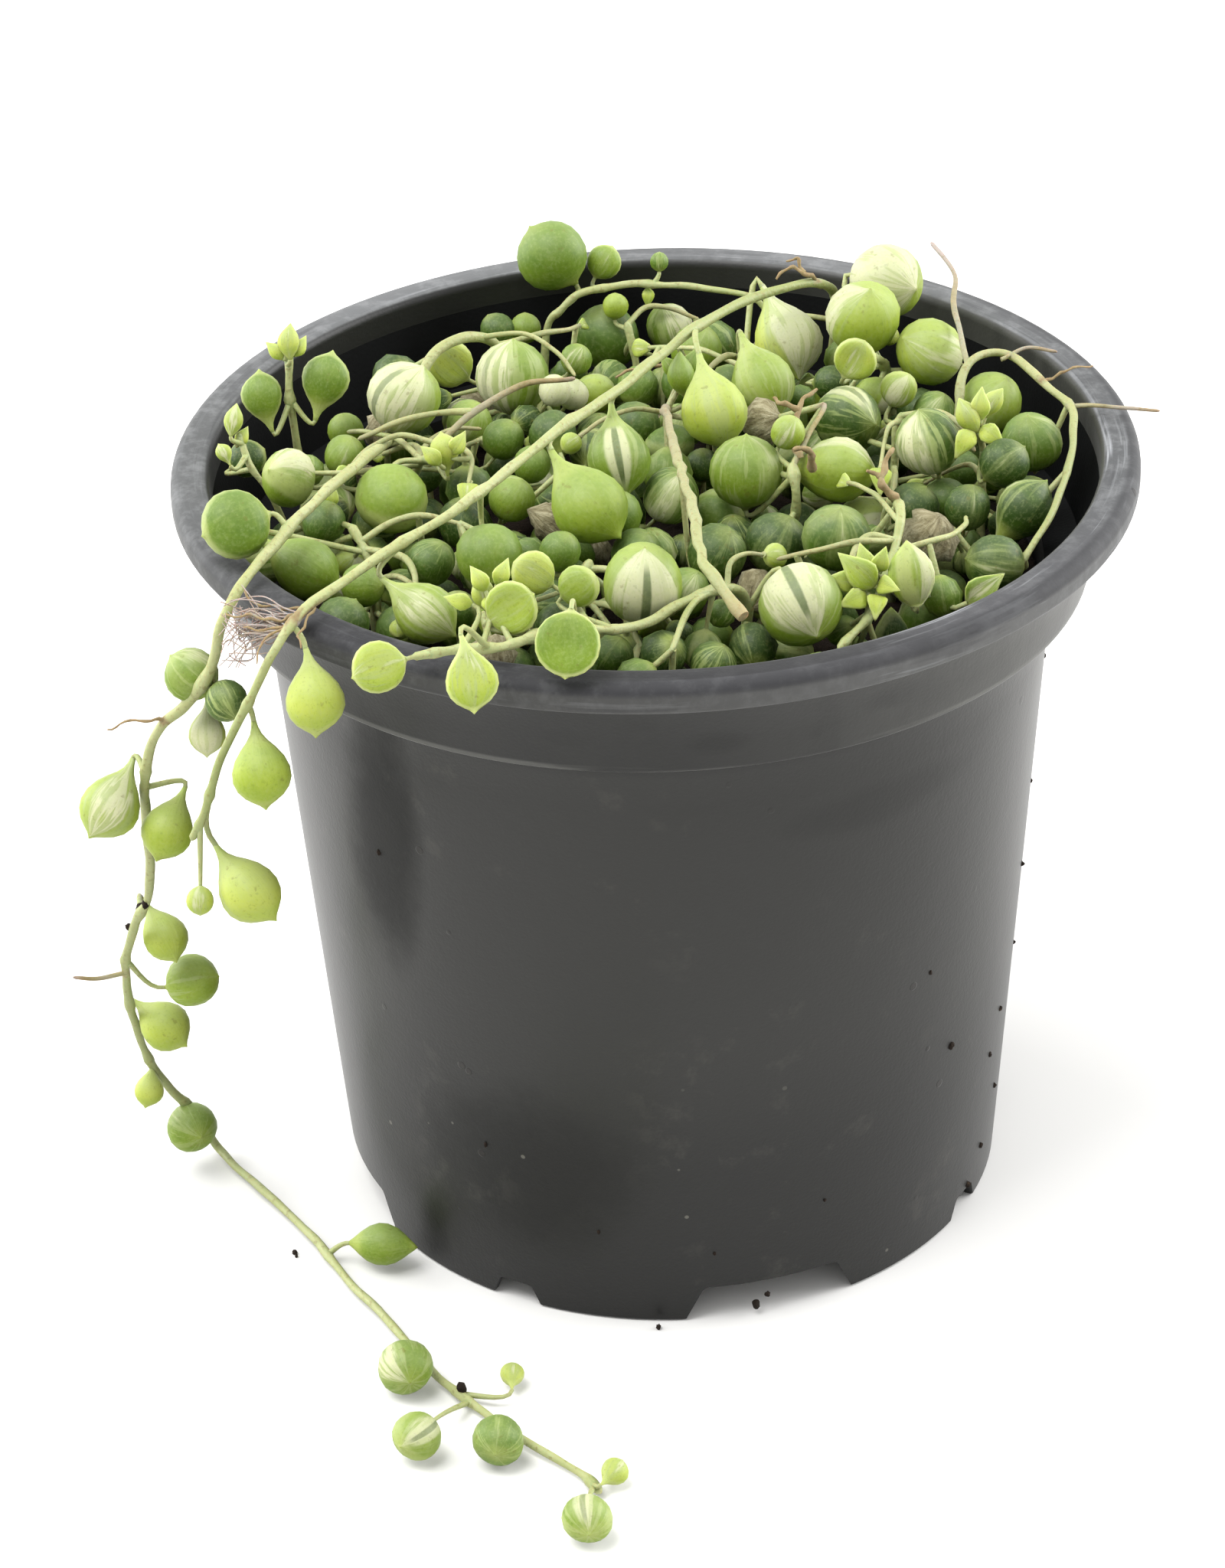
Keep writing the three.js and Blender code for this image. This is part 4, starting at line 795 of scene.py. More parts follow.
class Finish:
    """A material and the nodes that make its look."""

    def __init__(self, name):
        self.material = bpy.data.materials.new(name)
        self.material.use_nodes = True
        self.tree = self.material.node_tree
        self.shader = self.tree.nodes["Principled BSDF"]

    def fill(self, socket, value):
        if isinstance(value, Signal):
            self.tree.links.new(value.socket, socket)
        else:
            socket.default_value = value

    def node(self, kind, settings, sockets, output=0):
        made = self.tree.nodes.new(kind)
        for name, value in settings.items():
            if name == "stops":
                self.set_stops(made.color_ramp, value)
            else:
                setattr(made, name, value)
        for name, value in sockets.items():
            self.fill(made.inputs[name], value)
        return Signal(self, made.outputs[output])

    @staticmethod
    def set_stops(ramp, stops):
        while len(ramp.elements) < len(stops):
            ramp.elements.new(1)
        for element, (position, color) in zip(ramp.elements, stops):
            element.position = position
            element.color = color

    def sum_of(self, operation, *values):
        return self.node("ShaderNodeMath", {"operation": operation}, dict(enumerate(values)))

    def attribute(self, name, output):
        return self.node("ShaderNodeAttribute", {"attribute_name": name}, {}, output)

    def place(self):
        return self.node("ShaderNodeTexCoord", {}, {}, "Object")

    def parts(self, vector):
        split = self.tree.nodes.new("ShaderNodeSeparateXYZ")
        self.fill(split.inputs[0], vector)
        return [Signal(self, output) for output in split.outputs]

    def vector(self, x, y, z):
        return self.node("ShaderNodeCombineXYZ", {}, {0: x, 1: y, 2: z})

    def stretched(self, vector, scale):
        return self.node("ShaderNodeMapping", {}, {"Vector": vector, "Scale": scale})

    def mottle(self, vector, scale, detail=2.0, rough=0.5):
        """Cloudy noise from 0 to 1."""
        sockets = {"Vector": vector, "Scale": scale, "Detail": detail, "Roughness": rough}
        return self.node("ShaderNodeTexNoise", {}, sockets)

    def grains(self, vector, scale):
        """Distance to the middle of the nearest grain."""
        return self.node("ShaderNodeTexVoronoi", {}, {"Vector": vector, "Scale": scale})

    def fade(self, value, low, high):
        """Smoothly 0 at low and 1 at high, also where high is below low."""
        sockets = {"Value": value, "From Min": low, "From Max": high}
        return self.node("ShaderNodeMapRange", {"interpolation_type": "SMOOTHSTEP"}, sockets)

    def blend(self, share, first, second):
        """From the first colour to the second by a share."""
        return self.node("ShaderNodeMix", {"data_type": "RGBA"}, {0: share, 6: first, 7: second}, 2)

    def relief(self, height, distance, strength=1.0):
        """A bump of a height, in metres."""
        sockets = {"Height": height, "Distance": distance, "Strength": strength}
        return self.node("ShaderNodeBump", {}, sockets)

    def surface(self, sockets):
        for name, value in sockets.items():
            self.fill(self.shader.inputs[name], value)


def ink(red, green, blue, share=1.0):
    """A colour as a shader takes it, from the red, green and blue of a colour chart from 0 to 255."""
    def linear(value):
        level = value / 255
        return share * (level / 12.92 if level <= 0.04045 else ((level + 0.055) / 1.055) ** 2.4)

    return (linear(red), linear(green), linear(blue), 1)


def leaf_ink(red, green, blue):
    """A leaf's own colour, from how it looks in the white room."""
    return ink(red, green, blue, LEAF_SHARE)


# Finishes of the plant

def leaf_finish():
    """Waxy leaf: yellow green to deep green, cream sectors, fine stripes and a slit, with painted light: a
    pale rim highlight at its outline seen from the front, a glow low in its belly, shade underneath, and the
    sky's sheen with bloom on top.
    """
    f = Finish("waxy_leaf")
    x, y, z = f.parts(f.attribute("leaf_place", "Vector"))
    tint, cream, streak = f.parts(f.attribute("leaf_look", "Color"))
    seed = f.attribute("leaf_look", "Alpha")
    slit, rim, up = f.parts(f.attribute("leaf_marks", "Vector"))

    out = (x * x + y * y) ** 0.5 + 0.02
    facing = x / out
    across = y / out
    broad = f.mottle(f.vector(facing + seed * 37, across + seed * 11, z * 0.5), 1.4, 1.0)
    fine = f.mottle(f.vector(facing + seed * 37, across + seed * 11, z * 0.14), 4.6, 2.0, 0.6)
    cloud = f.mottle(f.vector(x + seed * 29, y, z), 1.5, 3.0)

    green = f.node("ShaderNodeValToRGB", {"stops": [
        (0.0, leaf_ink(212, 224, 100)), (0.25, leaf_ink(182, 203, 66)), (0.5, leaf_ink(144, 172, 52)),
        (0.75, leaf_ink(100, 134, 36)), (1.0, leaf_ink(52, 82, 18)),
    ]}, {0: tint + (cloud - 0.5) * 0.3})
    sage = leaf_ink(184, 200, 120)
    ivory = leaf_ink(240, 240, 194)

    # Painted light: a brighter yellow green low in the leaf's belly, for light shining through it
    belly_glow = f.fade(up, 0.15, -0.35) * f.fade(up, -1.0, -0.5)
    green = f.blend(belly_glow * 0.3 * (1.2 - tint), green, leaf_ink(164, 196, 52))
    # Painted shade: deeper green on the leaf's underside
    under = f.fade(up, -0.45, -1.0)
    green = f.blend(under * 0.4, green, leaf_ink(54, 82, 20))
    neck = f.fade(z, -0.62, -1.1)
    green = f.blend(neck * 0.65, green, leaf_ink(200, 214, 106))
    tip = f.fade(z, 0.75, 1.05)
    green = f.blend(tip * 0.3, green, leaf_ink(202, 210, 110))

    stripes = f.fade(fine, 0.6 - streak * 0.1, 0.66 - streak * 0.1) * f.fade(streak, 0.05, 0.7)
    green = f.blend(stripes * 0.65, green, sage)

    edge = 1.25 - cream * 1.6
    sector = facing + (broad - 0.5) * 0.7 + (fine - 0.5) * 0.9
    shown = f.fade(cream, 0.02, 0.08)
    halo = f.fade(sector, edge - 0.4, edge) * shown
    patch = f.fade(sector, edge - 0.08, edge + 0.14) * shown
    threads = f.fade(fine, 0.52, 0.58) * streak
    green = f.blend(halo * 0.6, green, sage)
    color = f.blend(patch * (1 - threads * 0.8), green, ivory)

    reach = across * across
    length = f.fade(z * z, 0.85, 0.45) * f.fade(facing, 0.0, 0.3) * slit
    color = f.blend(f.fade(reach, 0.2, 0.09) * length * 0.85, color, ivory)
    line = f.fade(reach, 0.02, 0.006) * length
    color = f.blend(line * 0.85, color, leaf_ink(84, 106, 46))

    # Painted highlight: a pale band along the leaf's outline as seen from the front, for the white room
    # gleaming at its edge
    rim_highlight = f.fade(x * x + (cloud - 0.5) * 0.1, 0.2, 0.04) * rim
    color = f.blend(rim_highlight * 0.8, color, leaf_ink(226, 234, 154))

    wax = f.mottle(f.vector(x + seed * 13, y, z), 8.0, 4.0, 0.65)
    color = f.blend(f.fade(wax, 0.46, 0.68) * 0.2, color, leaf_ink(196, 210, 140))
    color = f.blend(f.fade(wax, 0.46, 0.3) * 0.22, color, leaf_ink(70, 96, 30))
    # Painted sheen with bloom: the upper side turns pale sage, for the white sky's soft reflection on its
    # wax; less on rimmed and deep green leaves
    bloom_and_sky_sheen = f.fade(up, 0.05, 0.95) * (1 - rim * 0.4) * (1.15 - tint * 0.75)
    color = f.blend(bloom_and_sky_sheen * 0.3, color, leaf_ink(192, 208, 158))
    blots = f.fade(f.mottle(f.vector(x + seed * 53, y, z), 3.4, 3.0, 0.6), 0.62, 0.72)
    color = f.blend(blots * 0.4, color, leaf_ink(132, 122, 52))
    dry = f.fade(z, *TIP_MARKS)
    color = f.blend(dry * 0.5, color, leaf_ink(150, 122, 60))

    f.surface({
        "Base Color": color,
        "Roughness": 0.42 + wax * 0.18,
        "Normal": f.relief(fine * 0.6 + wax * 0.2 - line * 0.8, 0.00012, 0.7),
        "Subsurface Weight": 0.3,
        "Subsurface Scale": 0.0016,
        "Subsurface Radius": (0.7, 1.0, 0.25),
        "Specular IOR Level": 0.22,
        "Coat Weight": 0.03,
        "Coat Roughness": 0.25,
    })
    return f.material


def stem_finish():
    """Pale yellow-green stem, greener in patches, straw brown where it is dry, flushed tan at a cut."""
    f = Finish("pale_stem")
    place = f.place()
    dry, shade, flush = f.parts(f.attribute("stem_look", "Color"))
    patches = f.mottle(place, 240.0, 3.0)
    flecks = f.mottle(place, 1700.0, 3.0)
    fresh = f.blend(patches, leaf_ink(186, 196, 116), leaf_ink(220, 226, 170))
    fresh = f.blend(shade, fresh, leaf_ink(146, 164, 78))
    straw = f.blend(f.mottle(place, 900.0, 3.0), leaf_ink(112, 86, 52), leaf_ink(204, 182, 134))
    straw = f.blend(shade, straw, leaf_ink(204, 192, 190))
    color = f.blend(dry, fresh, straw)
    color = f.blend(f.fade(flecks, 0.58, 0.68) * 0.45, color, leaf_ink(150, 134, 74))
    color = f.blend(flush * 0.7, color, leaf_ink(206, 178, 122))
    f.surface({
        "Base Color": color,
        "Roughness": 0.5 + dry * 0.3,
        "Normal": f.relief(flecks + patches, 0.0002, 0.7),
        "Specular IOR Level": 0.35,
        "Subsurface Weight": 0.15,
        "Subsurface Scale": 0.001,
    })
    return f.material


def husk_finish():
    """Dried leaf: papery grey and straw stripes."""
    f = Finish("dry_husk")
    x, y, z = f.parts(f.attribute("leaf_place", "Vector"))
    seed = f.attribute("leaf_look", "Alpha")
    out = (x * x + y * y) ** 0.5 + 0.02
    stripes = f.mottle(f.vector(x / out + seed * 37, y / out, z * 0.4), 3.4, 3.0, 0.7)
    blots = f.mottle(f.vector(x + seed * 19, y, z), 2.4, 4.0, 0.7)
    color = f.node("ShaderNodeValToRGB", {"stops": [
        (0.3, leaf_ink(98, 86, 56)), (0.46, leaf_ink(152, 142, 102)), (0.6, leaf_ink(196, 188, 150)),
        (0.75, leaf_ink(220, 214, 184)),
    ]}, {0: stripes * 0.7 + blots * 0.3})
    f.surface({"Base Color": color, "Roughness": 0.85, "Normal": f.relief(stripes + blots, 0.0003)})
    return f.material


def soil_finish():
    """Dark crumbly peat with paler fibres."""
    f = Finish("peat")
    place = f.place()
    clods = f.mottle(place, 320.0, 5.0, 0.65)
    fibres = f.mottle(f.stretched(place, (1, 4, 1)), 700.0, 3.0)
    color = f.blend(clods, ink(12, 10, 8), ink(44, 34, 26))
    color = f.blend(f.fade(fibres, 0.66, 0.74) * 0.5, color, ink(96, 76, 54))
    f.surface({
        "Base Color": color,
        "Roughness": 0.95,
        "Specular IOR Level": 0.2,
        "Normal": f.relief(clods, 0.0012),
    })
    return f.material


# Finish of the pot

def pot_finish():
    """Charcoal moulded plastic: fine grain, a dusty lip with thin rubs, soft dark patches and specks, with
    painted light and shade: darker at the foot and under the collar, and on the lip and collar lighter
    towards the right and the back.
    """
    f = Finish("charcoal_plastic")
    place = f.place()
    x, y, z = f.parts(place)
    grain = f.mottle(place, 2600.0, 2.0)
    clouds = f.mottle(place, 26.0, 3.0)
    marks = f.mottle(place, 160.0, 5.0, 0.7)
    film = f.mottle(place, 110.0, 4.0, 0.65)
    out = (x * x + y * y) ** 0.5
    round_x = x / out * 0.05
    round_y = y / out * 0.05
    streaks = f.mottle(f.vector(round_x, round_y, out * 24 + z * 19), 70.0, 3.0, 0.6)
    bands = f.mottle(f.vector(round_x, round_y, out * 16 + z * 12), 30.0, 3.0, 0.6)
    to_right = f.fade(x, -0.03, 0.045)
    front = f.fade(y, 0.0, -0.012)

    def patch_shade(patches):
        """How dark the soft patches are at a place."""
        shade = 0
        for middle, height, wide, tall, strength in patches:
            away_x = (x - middle * MM) / (wide * MM)
            away_z = (z - height * MM) / (tall * MM)
            away = away_x * away_x + away_z * away_z + (film - 0.5) * 0.9
            shade = f.sum_of("MAXIMUM", shade, f.fade(away, 1.0, 0.0) * strength)
        return shade * front

    color = f.blend(clouds, ink(24, 24, 22), ink(33, 33, 31))
    color = f.blend(f.fade(x, -0.012, -0.032) * 0.35, color, ink(10, 10, 9))
    # Painted shade: the body darkens towards its foot, less on the lit right
    foot = f.fade(z, 0.04, 0.018)
    color = f.blend(foot * (0.95 - 0.5 * to_right), color, ink(6, 6, 5))
    patches = patch_shade(POT_PATCHES)
    color = f.blend(patches, color, ink(8, 8, 6))
    smears = f.fade(marks, 0.56, 0.7) * f.fade(clouds, 0.42, 0.58)
    color = f.blend(smears * 0.22, color, ink(66, 64, 58))

    # Painted shade: a dark band on the body's front just under the collar's overhang
    step = f.fade(z, 0.0735, 0.0755) * f.fade(out, 0.0472, 0.0466) * front
    color = f.blend(step * 0.9, color, ink(10, 10, 9))

    # The collar's tone, mottled by dust, is painted light and shade: dark at its left and lighter towards
    # the right, where the lamps fall on it
    collar = f.fade(z, 0.0765, 0.0775) * f.fade(out, 0.0466, 0.047)
    dust_and_painted_light = 0.7 + 0.3 * f.fade(film, 0.36, 0.62)
    lit_to_right = f.fade(x, -0.006, 0.047)
    color = f.blend(collar * dust_and_painted_light, color, f.blend(lit_to_right, ink(19, 19, 18), ink(58, 58, 55)))
    drips = f.fade(f.mottle(f.vector(round_x, round_y, z * 0.12), 150.0, 2.0), 0.5, 0.62)
    color = f.blend(collar * drips * 0.3, color, ink(22, 22, 20))
    color = f.blend(collar * patch_shade(COLLAR_SMUDGES) * f.fade(film, 0.35, 0.6), color, ink(14, 14, 12))
    seam = f.fade(z, 0.0779, 0.0775) * f.fade(z, 0.0768, 0.0771)
    seam = seam * f.fade(out, 0.0466, 0.0468)
    color = f.blend(seam * f.fade(bands, 0.4, 0.55) * 0.5, color, ink(92, 92, 88))

    lip = f.fade(z, 0.0865, 0.0868) * f.fade(out, 0.0485, 0.0488)
    behind = f.fade(y, -0.042, -0.005)
    # Painted light and shade on the lip's top: dusty grey over its back half, painted lighter at the far
    # back where it catches the bright room, and a darker front, lighter towards the right
    dust_and_back_light = f.blend(to_right, ink(70, 71, 71), ink(66, 67, 68))
    dust_and_back_light = f.blend(f.fade(y, 0.005, 0.045), dust_and_back_light, ink(86, 87, 88))
    ring = f.blend(behind, f.blend(to_right, ink(30, 30, 33), ink(58, 58, 60)), dust_and_back_light)
    color = f.blend(lip, color, ring)
    # Painted light on the lip's outer side at the front: darker at the left, lighter towards the right
    side = lip * f.fade(z, 0.0893, 0.0886)
    lip_side_lit_right = f.blend(to_right, ink(56, 56, 54), ink(84, 84, 83))
    color = f.blend(side * (1 - behind) * 0.8, color, lip_side_lit_right)
    powder = f.fade(f.mottle(place, 420.0, 4.0, 0.7), 0.42, 0.68)
    color = f.blend(lip * powder * (0.06 + 0.12 * behind), color, ink(150, 151, 152))
    shadow = lip * f.fade(bands, 0.46, 0.4)
    color = f.blend(shadow * 0.35, color, ink(40, 40, 42))
    # Thin rubs on the lip, partly wear and partly painted highlight: they brighten most at the front right,
    # where the light catches the lip
    rubs_and_glints = f.fade(streaks, 0.56, 0.66) * (0.4 + 0.6 * f.fade(bands, 0.45, 0.6))
    near = f.fade(y, 0.012, -0.016)
    color = f.blend(lip * rubs_and_glints * (0.08 + 0.24 * to_right * near), color, ink(140, 142, 144))
    # Painted shade on the lip's outer rounding at the right, against the lamps' gleam there
    rounding_shade = lip * f.fade(out, 0.0508, 0.0515) * f.fade(z, 0.0884, 0.089)
    color = f.blend(rounding_shade * to_right * 0.6, color, ink(30, 30, 32))
    # A pale line on the lip's inner edge, partly wear and partly painted highlight, strongest at the front
    # right
    inner_edge = lip * f.fade(out, 0.0495, 0.0491) * f.fade(z, 0.0888, 0.0893)
    wear_and_glint = f.fade(bands, 0.5, 0.62) * f.fade(streaks, 0.4, 0.6)
    color = f.blend(inner_edge * wear_and_glint * (0.15 + 0.6 * to_right * near), color, ink(176, 178, 182))
    middle = lip * f.fade(y, -0.041, -0.047) * f.fade(out, 0.0513, 0.0509) * f.fade(z, 0.0891, 0.0895)
    color = f.blend(middle * f.fade(x, -0.016, -0.009) * 0.6, color, ink(10, 10, 11))

    specks = f.fade(f.grains(place, 190.0), 0.11, 0.08) * f.fade(f.mottle(place, 60.0), 0.56, 0.66)
    color = f.blend(specks * 0.5, color, ink(20, 15, 10))
    bright = f.fade(f.grains(place, 150.0), 0.05, 0.035) * f.fade(z, 0.04, 0.02) * front
    color = f.blend(bright * 0.4, color, ink(120, 118, 108))
    f.surface({
        "Base Color": color,
        "Roughness": 0.34 + clouds * 0.1 + lip * 0.3 + collar * 0.04 + patches * 0.35,
        "Normal": f.relief(grain * 0.35 + marks * 0.8 + specks, 0.00012, 0.5),
        "Specular IOR Level": 0.32,
        "Sheen Weight": 0.1,
        "Sheen Roughness": 0.3,
    })
    return f.material


def shaded_finish():
    """The pot's inner wall above the soil: a shaded copy of the plastic, painted darker and duller, and a
    little streaked.
    """
    f = Finish("shaded_plastic")
    place = f.place()
    x, y, z = f.parts(place)
    streaks = f.mottle(f.vector(x, y, z * 0.2), 90.0, 3.0, 0.6)
    color = f.blend(streaks, ink(8, 8, 8), ink(20, 21, 22))
    f.surface({
        "Base Color": color,
        "Roughness": 0.6,
        "Normal": f.relief(f.mottle(place, 2600.0, 2.0), 0.00008, 0.5),
        "Specular IOR Level": 0.08,
    })
    return f.material


# Modelling by hand

def clear_selection():
    if bpy.context.mode != "OBJECT":
        bpy.ops.object.mode_set(mode="OBJECT")
    bpy.ops.object.select_all(action="DESELECT")


def turned_body(name, rows, sides, unit=1.0):
    """A closed body about +Z, drawn up from a ring through rows of height and radius, to a point."""
    clear_selection()
    height, radius = rows[0]
    bpy.ops.mesh.primitive_circle_add(
        vertices=sides, radius=radius * unit, fill_type="NGON", location=(0, 0, height * unit)
    )
    body = bpy.context.object
    body.name = name
    bpy.ops.object.transform_apply(location=True)
    bpy.ops.object.mode_set(mode="EDIT")
    bpy.ops.mesh.select_all(action="SELECT")
    for (low, inner), (high, outer) in zip(rows, rows[1:]):
        bpy.ops.mesh.extrude_region_move(TRANSFORM_OT_translate={"value": (0, 0, (high - low) * unit)})
        growth = outer / inner
        bpy.ops.transform.resize(value=(growth, growth, 1), center_override=(0, 0, high * unit))
    bpy.ops.mesh.merge(type="COLLAPSE")
    bpy.ops.mesh.select_all(action="SELECT")
    bpy.ops.mesh.normals_make_consistent(inside=False)
    bpy.ops.object.mode_set(mode="OBJECT")
    bpy.ops.object.shade_smooth()
    return body


def twin_of(master, name):
    """A copy of an object with a mesh of its own."""
    twin = master.copy()
    twin.data = master.data.copy()
    twin.name = name
    bpy.context.collection.objects.link(twin)
    return twin


def get_points(mesh):
    flat = np.empty(3 * len(mesh.vertices))
    mesh.vertices.foreach_get("co", flat)
    return flat.reshape(-1, 3)


def set_points(mesh, points):
    mesh.vertices.foreach_set("co", np.ascontiguousarray(points, dtype=np.float64).ravel())
    mesh.update()


def joined(pieces, name):
    """Several objects joined into the first one, under a new name."""
    clear_selection()
    for piece in pieces:
        piece.select_set(True)
    bpy.context.view_layer.objects.active = pieces[0]
    if len(pieces) > 1:
        bpy.ops.object.join()
    pieces[0].name = name
    return pieces[0]


def remove(piece):
    bpy.data.objects.remove(piece)


# How the plant grows

def soil_height(distance):
    """Height of the soil's domed top at a distance from the pot's axis."""
    share = distance / BODY_TOP_RADIUS
    return SOIL_CENTRE_HEIGHT - (SOIL_CENTRE_HEIGHT - SOIL_EDGE_HEIGHT) * share * share


def seeded_random(seed):
    """Chance numbers from 0 to 1 that are the same in every run, as in the part's source."""
    state = seed

    def draw():
        nonlocal state
        state = (state * 1664525 + 1013904223) % 4294967296
        return state / 4294967296

    return draw


def between(span, draw):
    """A chance value in a span."""
    return span[0] + (span[1] - span[0]) * draw()


def rooted_route(strand):
    """A strand's route with its foot set into the soil and standing up out of it."""
    x, y = strand["route"][0]
    surface = soil_height(math.hypot(x, y))
    return [[x, y, surface - ROOT_DEPTH + SEAT_GAP], [x, y, surface + ROOT_RISE]] + strand["route"][1:]


def curve_points(route, steps):
    """Points on a smooth curve through a route, with that many steps from each point to the next."""
    knots = np.array(route, dtype=float)
    before = 2 * knots[0] - knots[1]
    after = 2 * knots[-1] - knots[-2]
    knots = np.vstack([before, knots, after])
    points = []
    for index in range(1, len(knots) - 2):
        first, second = knots[index], knots[index + 1]
        leave = 0.5 * (second - knots[index - 1])
        arrive = 0.5 * (knots[index + 2] - first)
        for step in range(steps):
            t = step / steps
            points.append(
                first + leave * t + (3 * (second - first) - 2 * leave - arrive) * t**2
                + (2 * (first - second) + leave + arrive) * t**3
            )
    points.append(knots[-2])
    return np.array(points)


def pot_outline():
    """Outline of the pot that leaves can touch: up the outside from the foot and down the inside."""
    collar_foot = POT_HEIGHT - COLLAR_HEIGHT
    lip_inner = LIP_RADIUS - LIP_WIDTH
    return [
        (BASE_RADIUS, 0),
        (BODY_TOP_RADIUS, collar_foot - 1),
        (COLLAR_FOOT_RADIUS, collar_foot),
        (COLLAR_TOP_RADIUS, POT_HEIGHT - LIP_DEPTH + 0.2),
        (LIP_RADIUS - LIP_ROUNDING, POT_HEIGHT - LIP_DEPTH),
        (LIP_RADIUS, POT_HEIGHT - LIP_DEPTH + LIP_ROUNDING),
        (LIP_RADIUS, POT_HEIGHT - LIP_ROUNDING),
        (LIP_RADIUS - LIP_ROUNDING, POT_HEIGHT),
        (lip_inner + LIP_ROUNDING, POT_HEIGHT),
        (lip_inner, POT_HEIGHT - LIP_ROUNDING),
        (lip_inner - 0.1, POT_HEIGHT - LIP_DEPTH),
        (COLLAR_FOOT_RADIUS - POT_WALL, collar_foot + 1),
        (BODY_TOP_RADIUS - POT_WALL, collar_foot - 0.2),
    ]


class Leaf:
    """A leaf of the plan: where it belongs, its size and form, and how it is held and looks."""

    def __init__(self, strand, main, home, radius, form, lead, hold, give, look):
        self.strand = strand
        self.main = main
        self.home = home
        self.radius = radius
        self.form = form
        self.lead = lead
        self.hold = hold
        self.give = give
        self.look = look
        self.room = radius * (LONG_LEAF_ROOM if form == "long" else 1)
        self.dried = False


def plant_plan():
    """Stems and leaves of every strand, before the leaves have settled."""
    draw = seeded_random(SEED)
    looks = seeded_random(SEED + 1)
    stems, leaves = [], []
    for index, strand in enumerate(STRANDS):
        routes = [(strand["stem"], rooted_route(strand))]
        routes += [(twig["stem"], twig["route"]) for twig in strand.get("twigs", [])]
        main = len(stems)
        for stem, route in routes:
            points = curve_points(route, PLAN_STEPS)
            stems.append({"strand": index, "radius": stem / 2, "points": points, "route": route})
        for x, y, z, radius, form, lead, *look in strand["leaves"]:
            leaves.append(Leaf(index, main, [x, y, z], radius, form, lead, *SHOWN_LEAF, look))
        root_x, root_y = strand["route"][0]
        for _ in range(strand.get("under", 0)):
            turn = 2 * math.pi * draw()
            reach = UNDER_REACH * math.sqrt(draw())
            radius = between(UNDER_RADIUS, draw)
            x = root_x + reach * math.cos(turn)
            y = root_y + reach * math.sin(turn)
            z = soil_height(math.hypot(x, y)) + radius + LEAF_GAP + UNDER_RISE * draw()
            leaves.append(Leaf(index, main, [x, y, z], radius, "bead", 1, *UNDER_LEAF, chance_look(looks)))
    return stems, leaves


def chance_look(draw):
    """How a leaf looks whose place in the crown nobody picked: mostly deep green, a few striped or pale."""
    tint = 0.62 + 0.6 * draw()
    cream = max(0, 0.7 * draw() - 0.45)
    if draw() < PALE_SHARE:
        tint, cream = 0.15 + 0.3 * draw(), 0.6 * draw()
    return [tint, cream, 360 * draw(), 0.8 * draw(), 0, 0.5 * round(draw() - 0.2), None, 0]


def wander_threads(stems, leaves):
    """Adds fine stems that leave the thicker ones between the leaves, some with a bud at the end."""
    draw = seeded_random(SEED + 5)
    looks = seeded_random(SEED + 6)
    centres = np.array([leaf.centre for leaf in leaves])
    rooms = np.array([leaf.room for leaf in leaves])
    low, high = THREAD_HEIGHTS
    feet = [
        (stem["strand"], point) for stem in stems for point in stem["points"]
        if math.hypot(point[0], point[1]) < FILLER_REACH and low < point[2] < high
    ]
    made = 0
    for _ in range(THREAD_TRIES):
        if made == THREADS:
            break
        strand, foot = feet[int(draw() * len(feet))]
        turn = 2 * math.pi * draw()
        length = between(THREAD_LENGTH, draw)
        rise = between(THREAD_RISE, draw)
        bend = (draw() - 0.5) * length
        along = np.array([math.cos(turn), math.sin(turn), 0])
        aside = np.array([-math.sin(turn), math.cos(turn), 0])
        up = np.array([0, 0, 1])
        knots = [foot, foot + along * length * 0.35 + aside * bend * 0.5 + up * (0.4 * rise + 1.2),
                 foot + along * length * 0.7 + aside * bend * 0.4 + up * (0.8 * rise + 1),
                 foot + along * length + up * rise]
        points = curve_points(knots, THREAD_STEPS)
        heights = points[:, 2]
        past_crown = math.hypot(*points[-1][:2]) > FILLER_FRONT_REACH
        if past_crown or heights.min() < low - 3 or heights.max() > high:
            continue
        gaps = np.linalg.norm(points[2:, None] - centres[None], axis=2) - rooms
        if gaps.min() < THREAD_RADIUS[1] + FILLER_GAP:
            continue
        made += 1
        radius = between(THREAD_RADIUS, draw)
        dry = (THREAD_DRYNESS[0], THREAD_DRYNESS[1] * draw())
        stems.append({"strand": strand, "radius": radius, "points": points, "route": knots, "dry": dry})
        size = 0.8 + 0.6 * looks()
        ahead = (points[-1] - points[-2]) / np.linalg.norm(points[-1] - points[-2])
        place = points[-1] + ahead * size * 1.2
        if (np.linalg.norm(centres - place, axis=1) - rooms).min() < size + FILLER_GAP or looks() < 0.35:
            continue
        look = [0.3 * looks(), 0.1, 0, 0.3, 0, 0.5, None, 0]
        bud = Leaf(strand, None, place, size, "bract" if looks() < 0.6 else "bead", 0, 0, 1, look)
        bud.centre, bud.start = place, points[-1]
        leaves.append(bud)
        centres = np.vstack([centres, place])
        rooms = np.append(rooms, size)


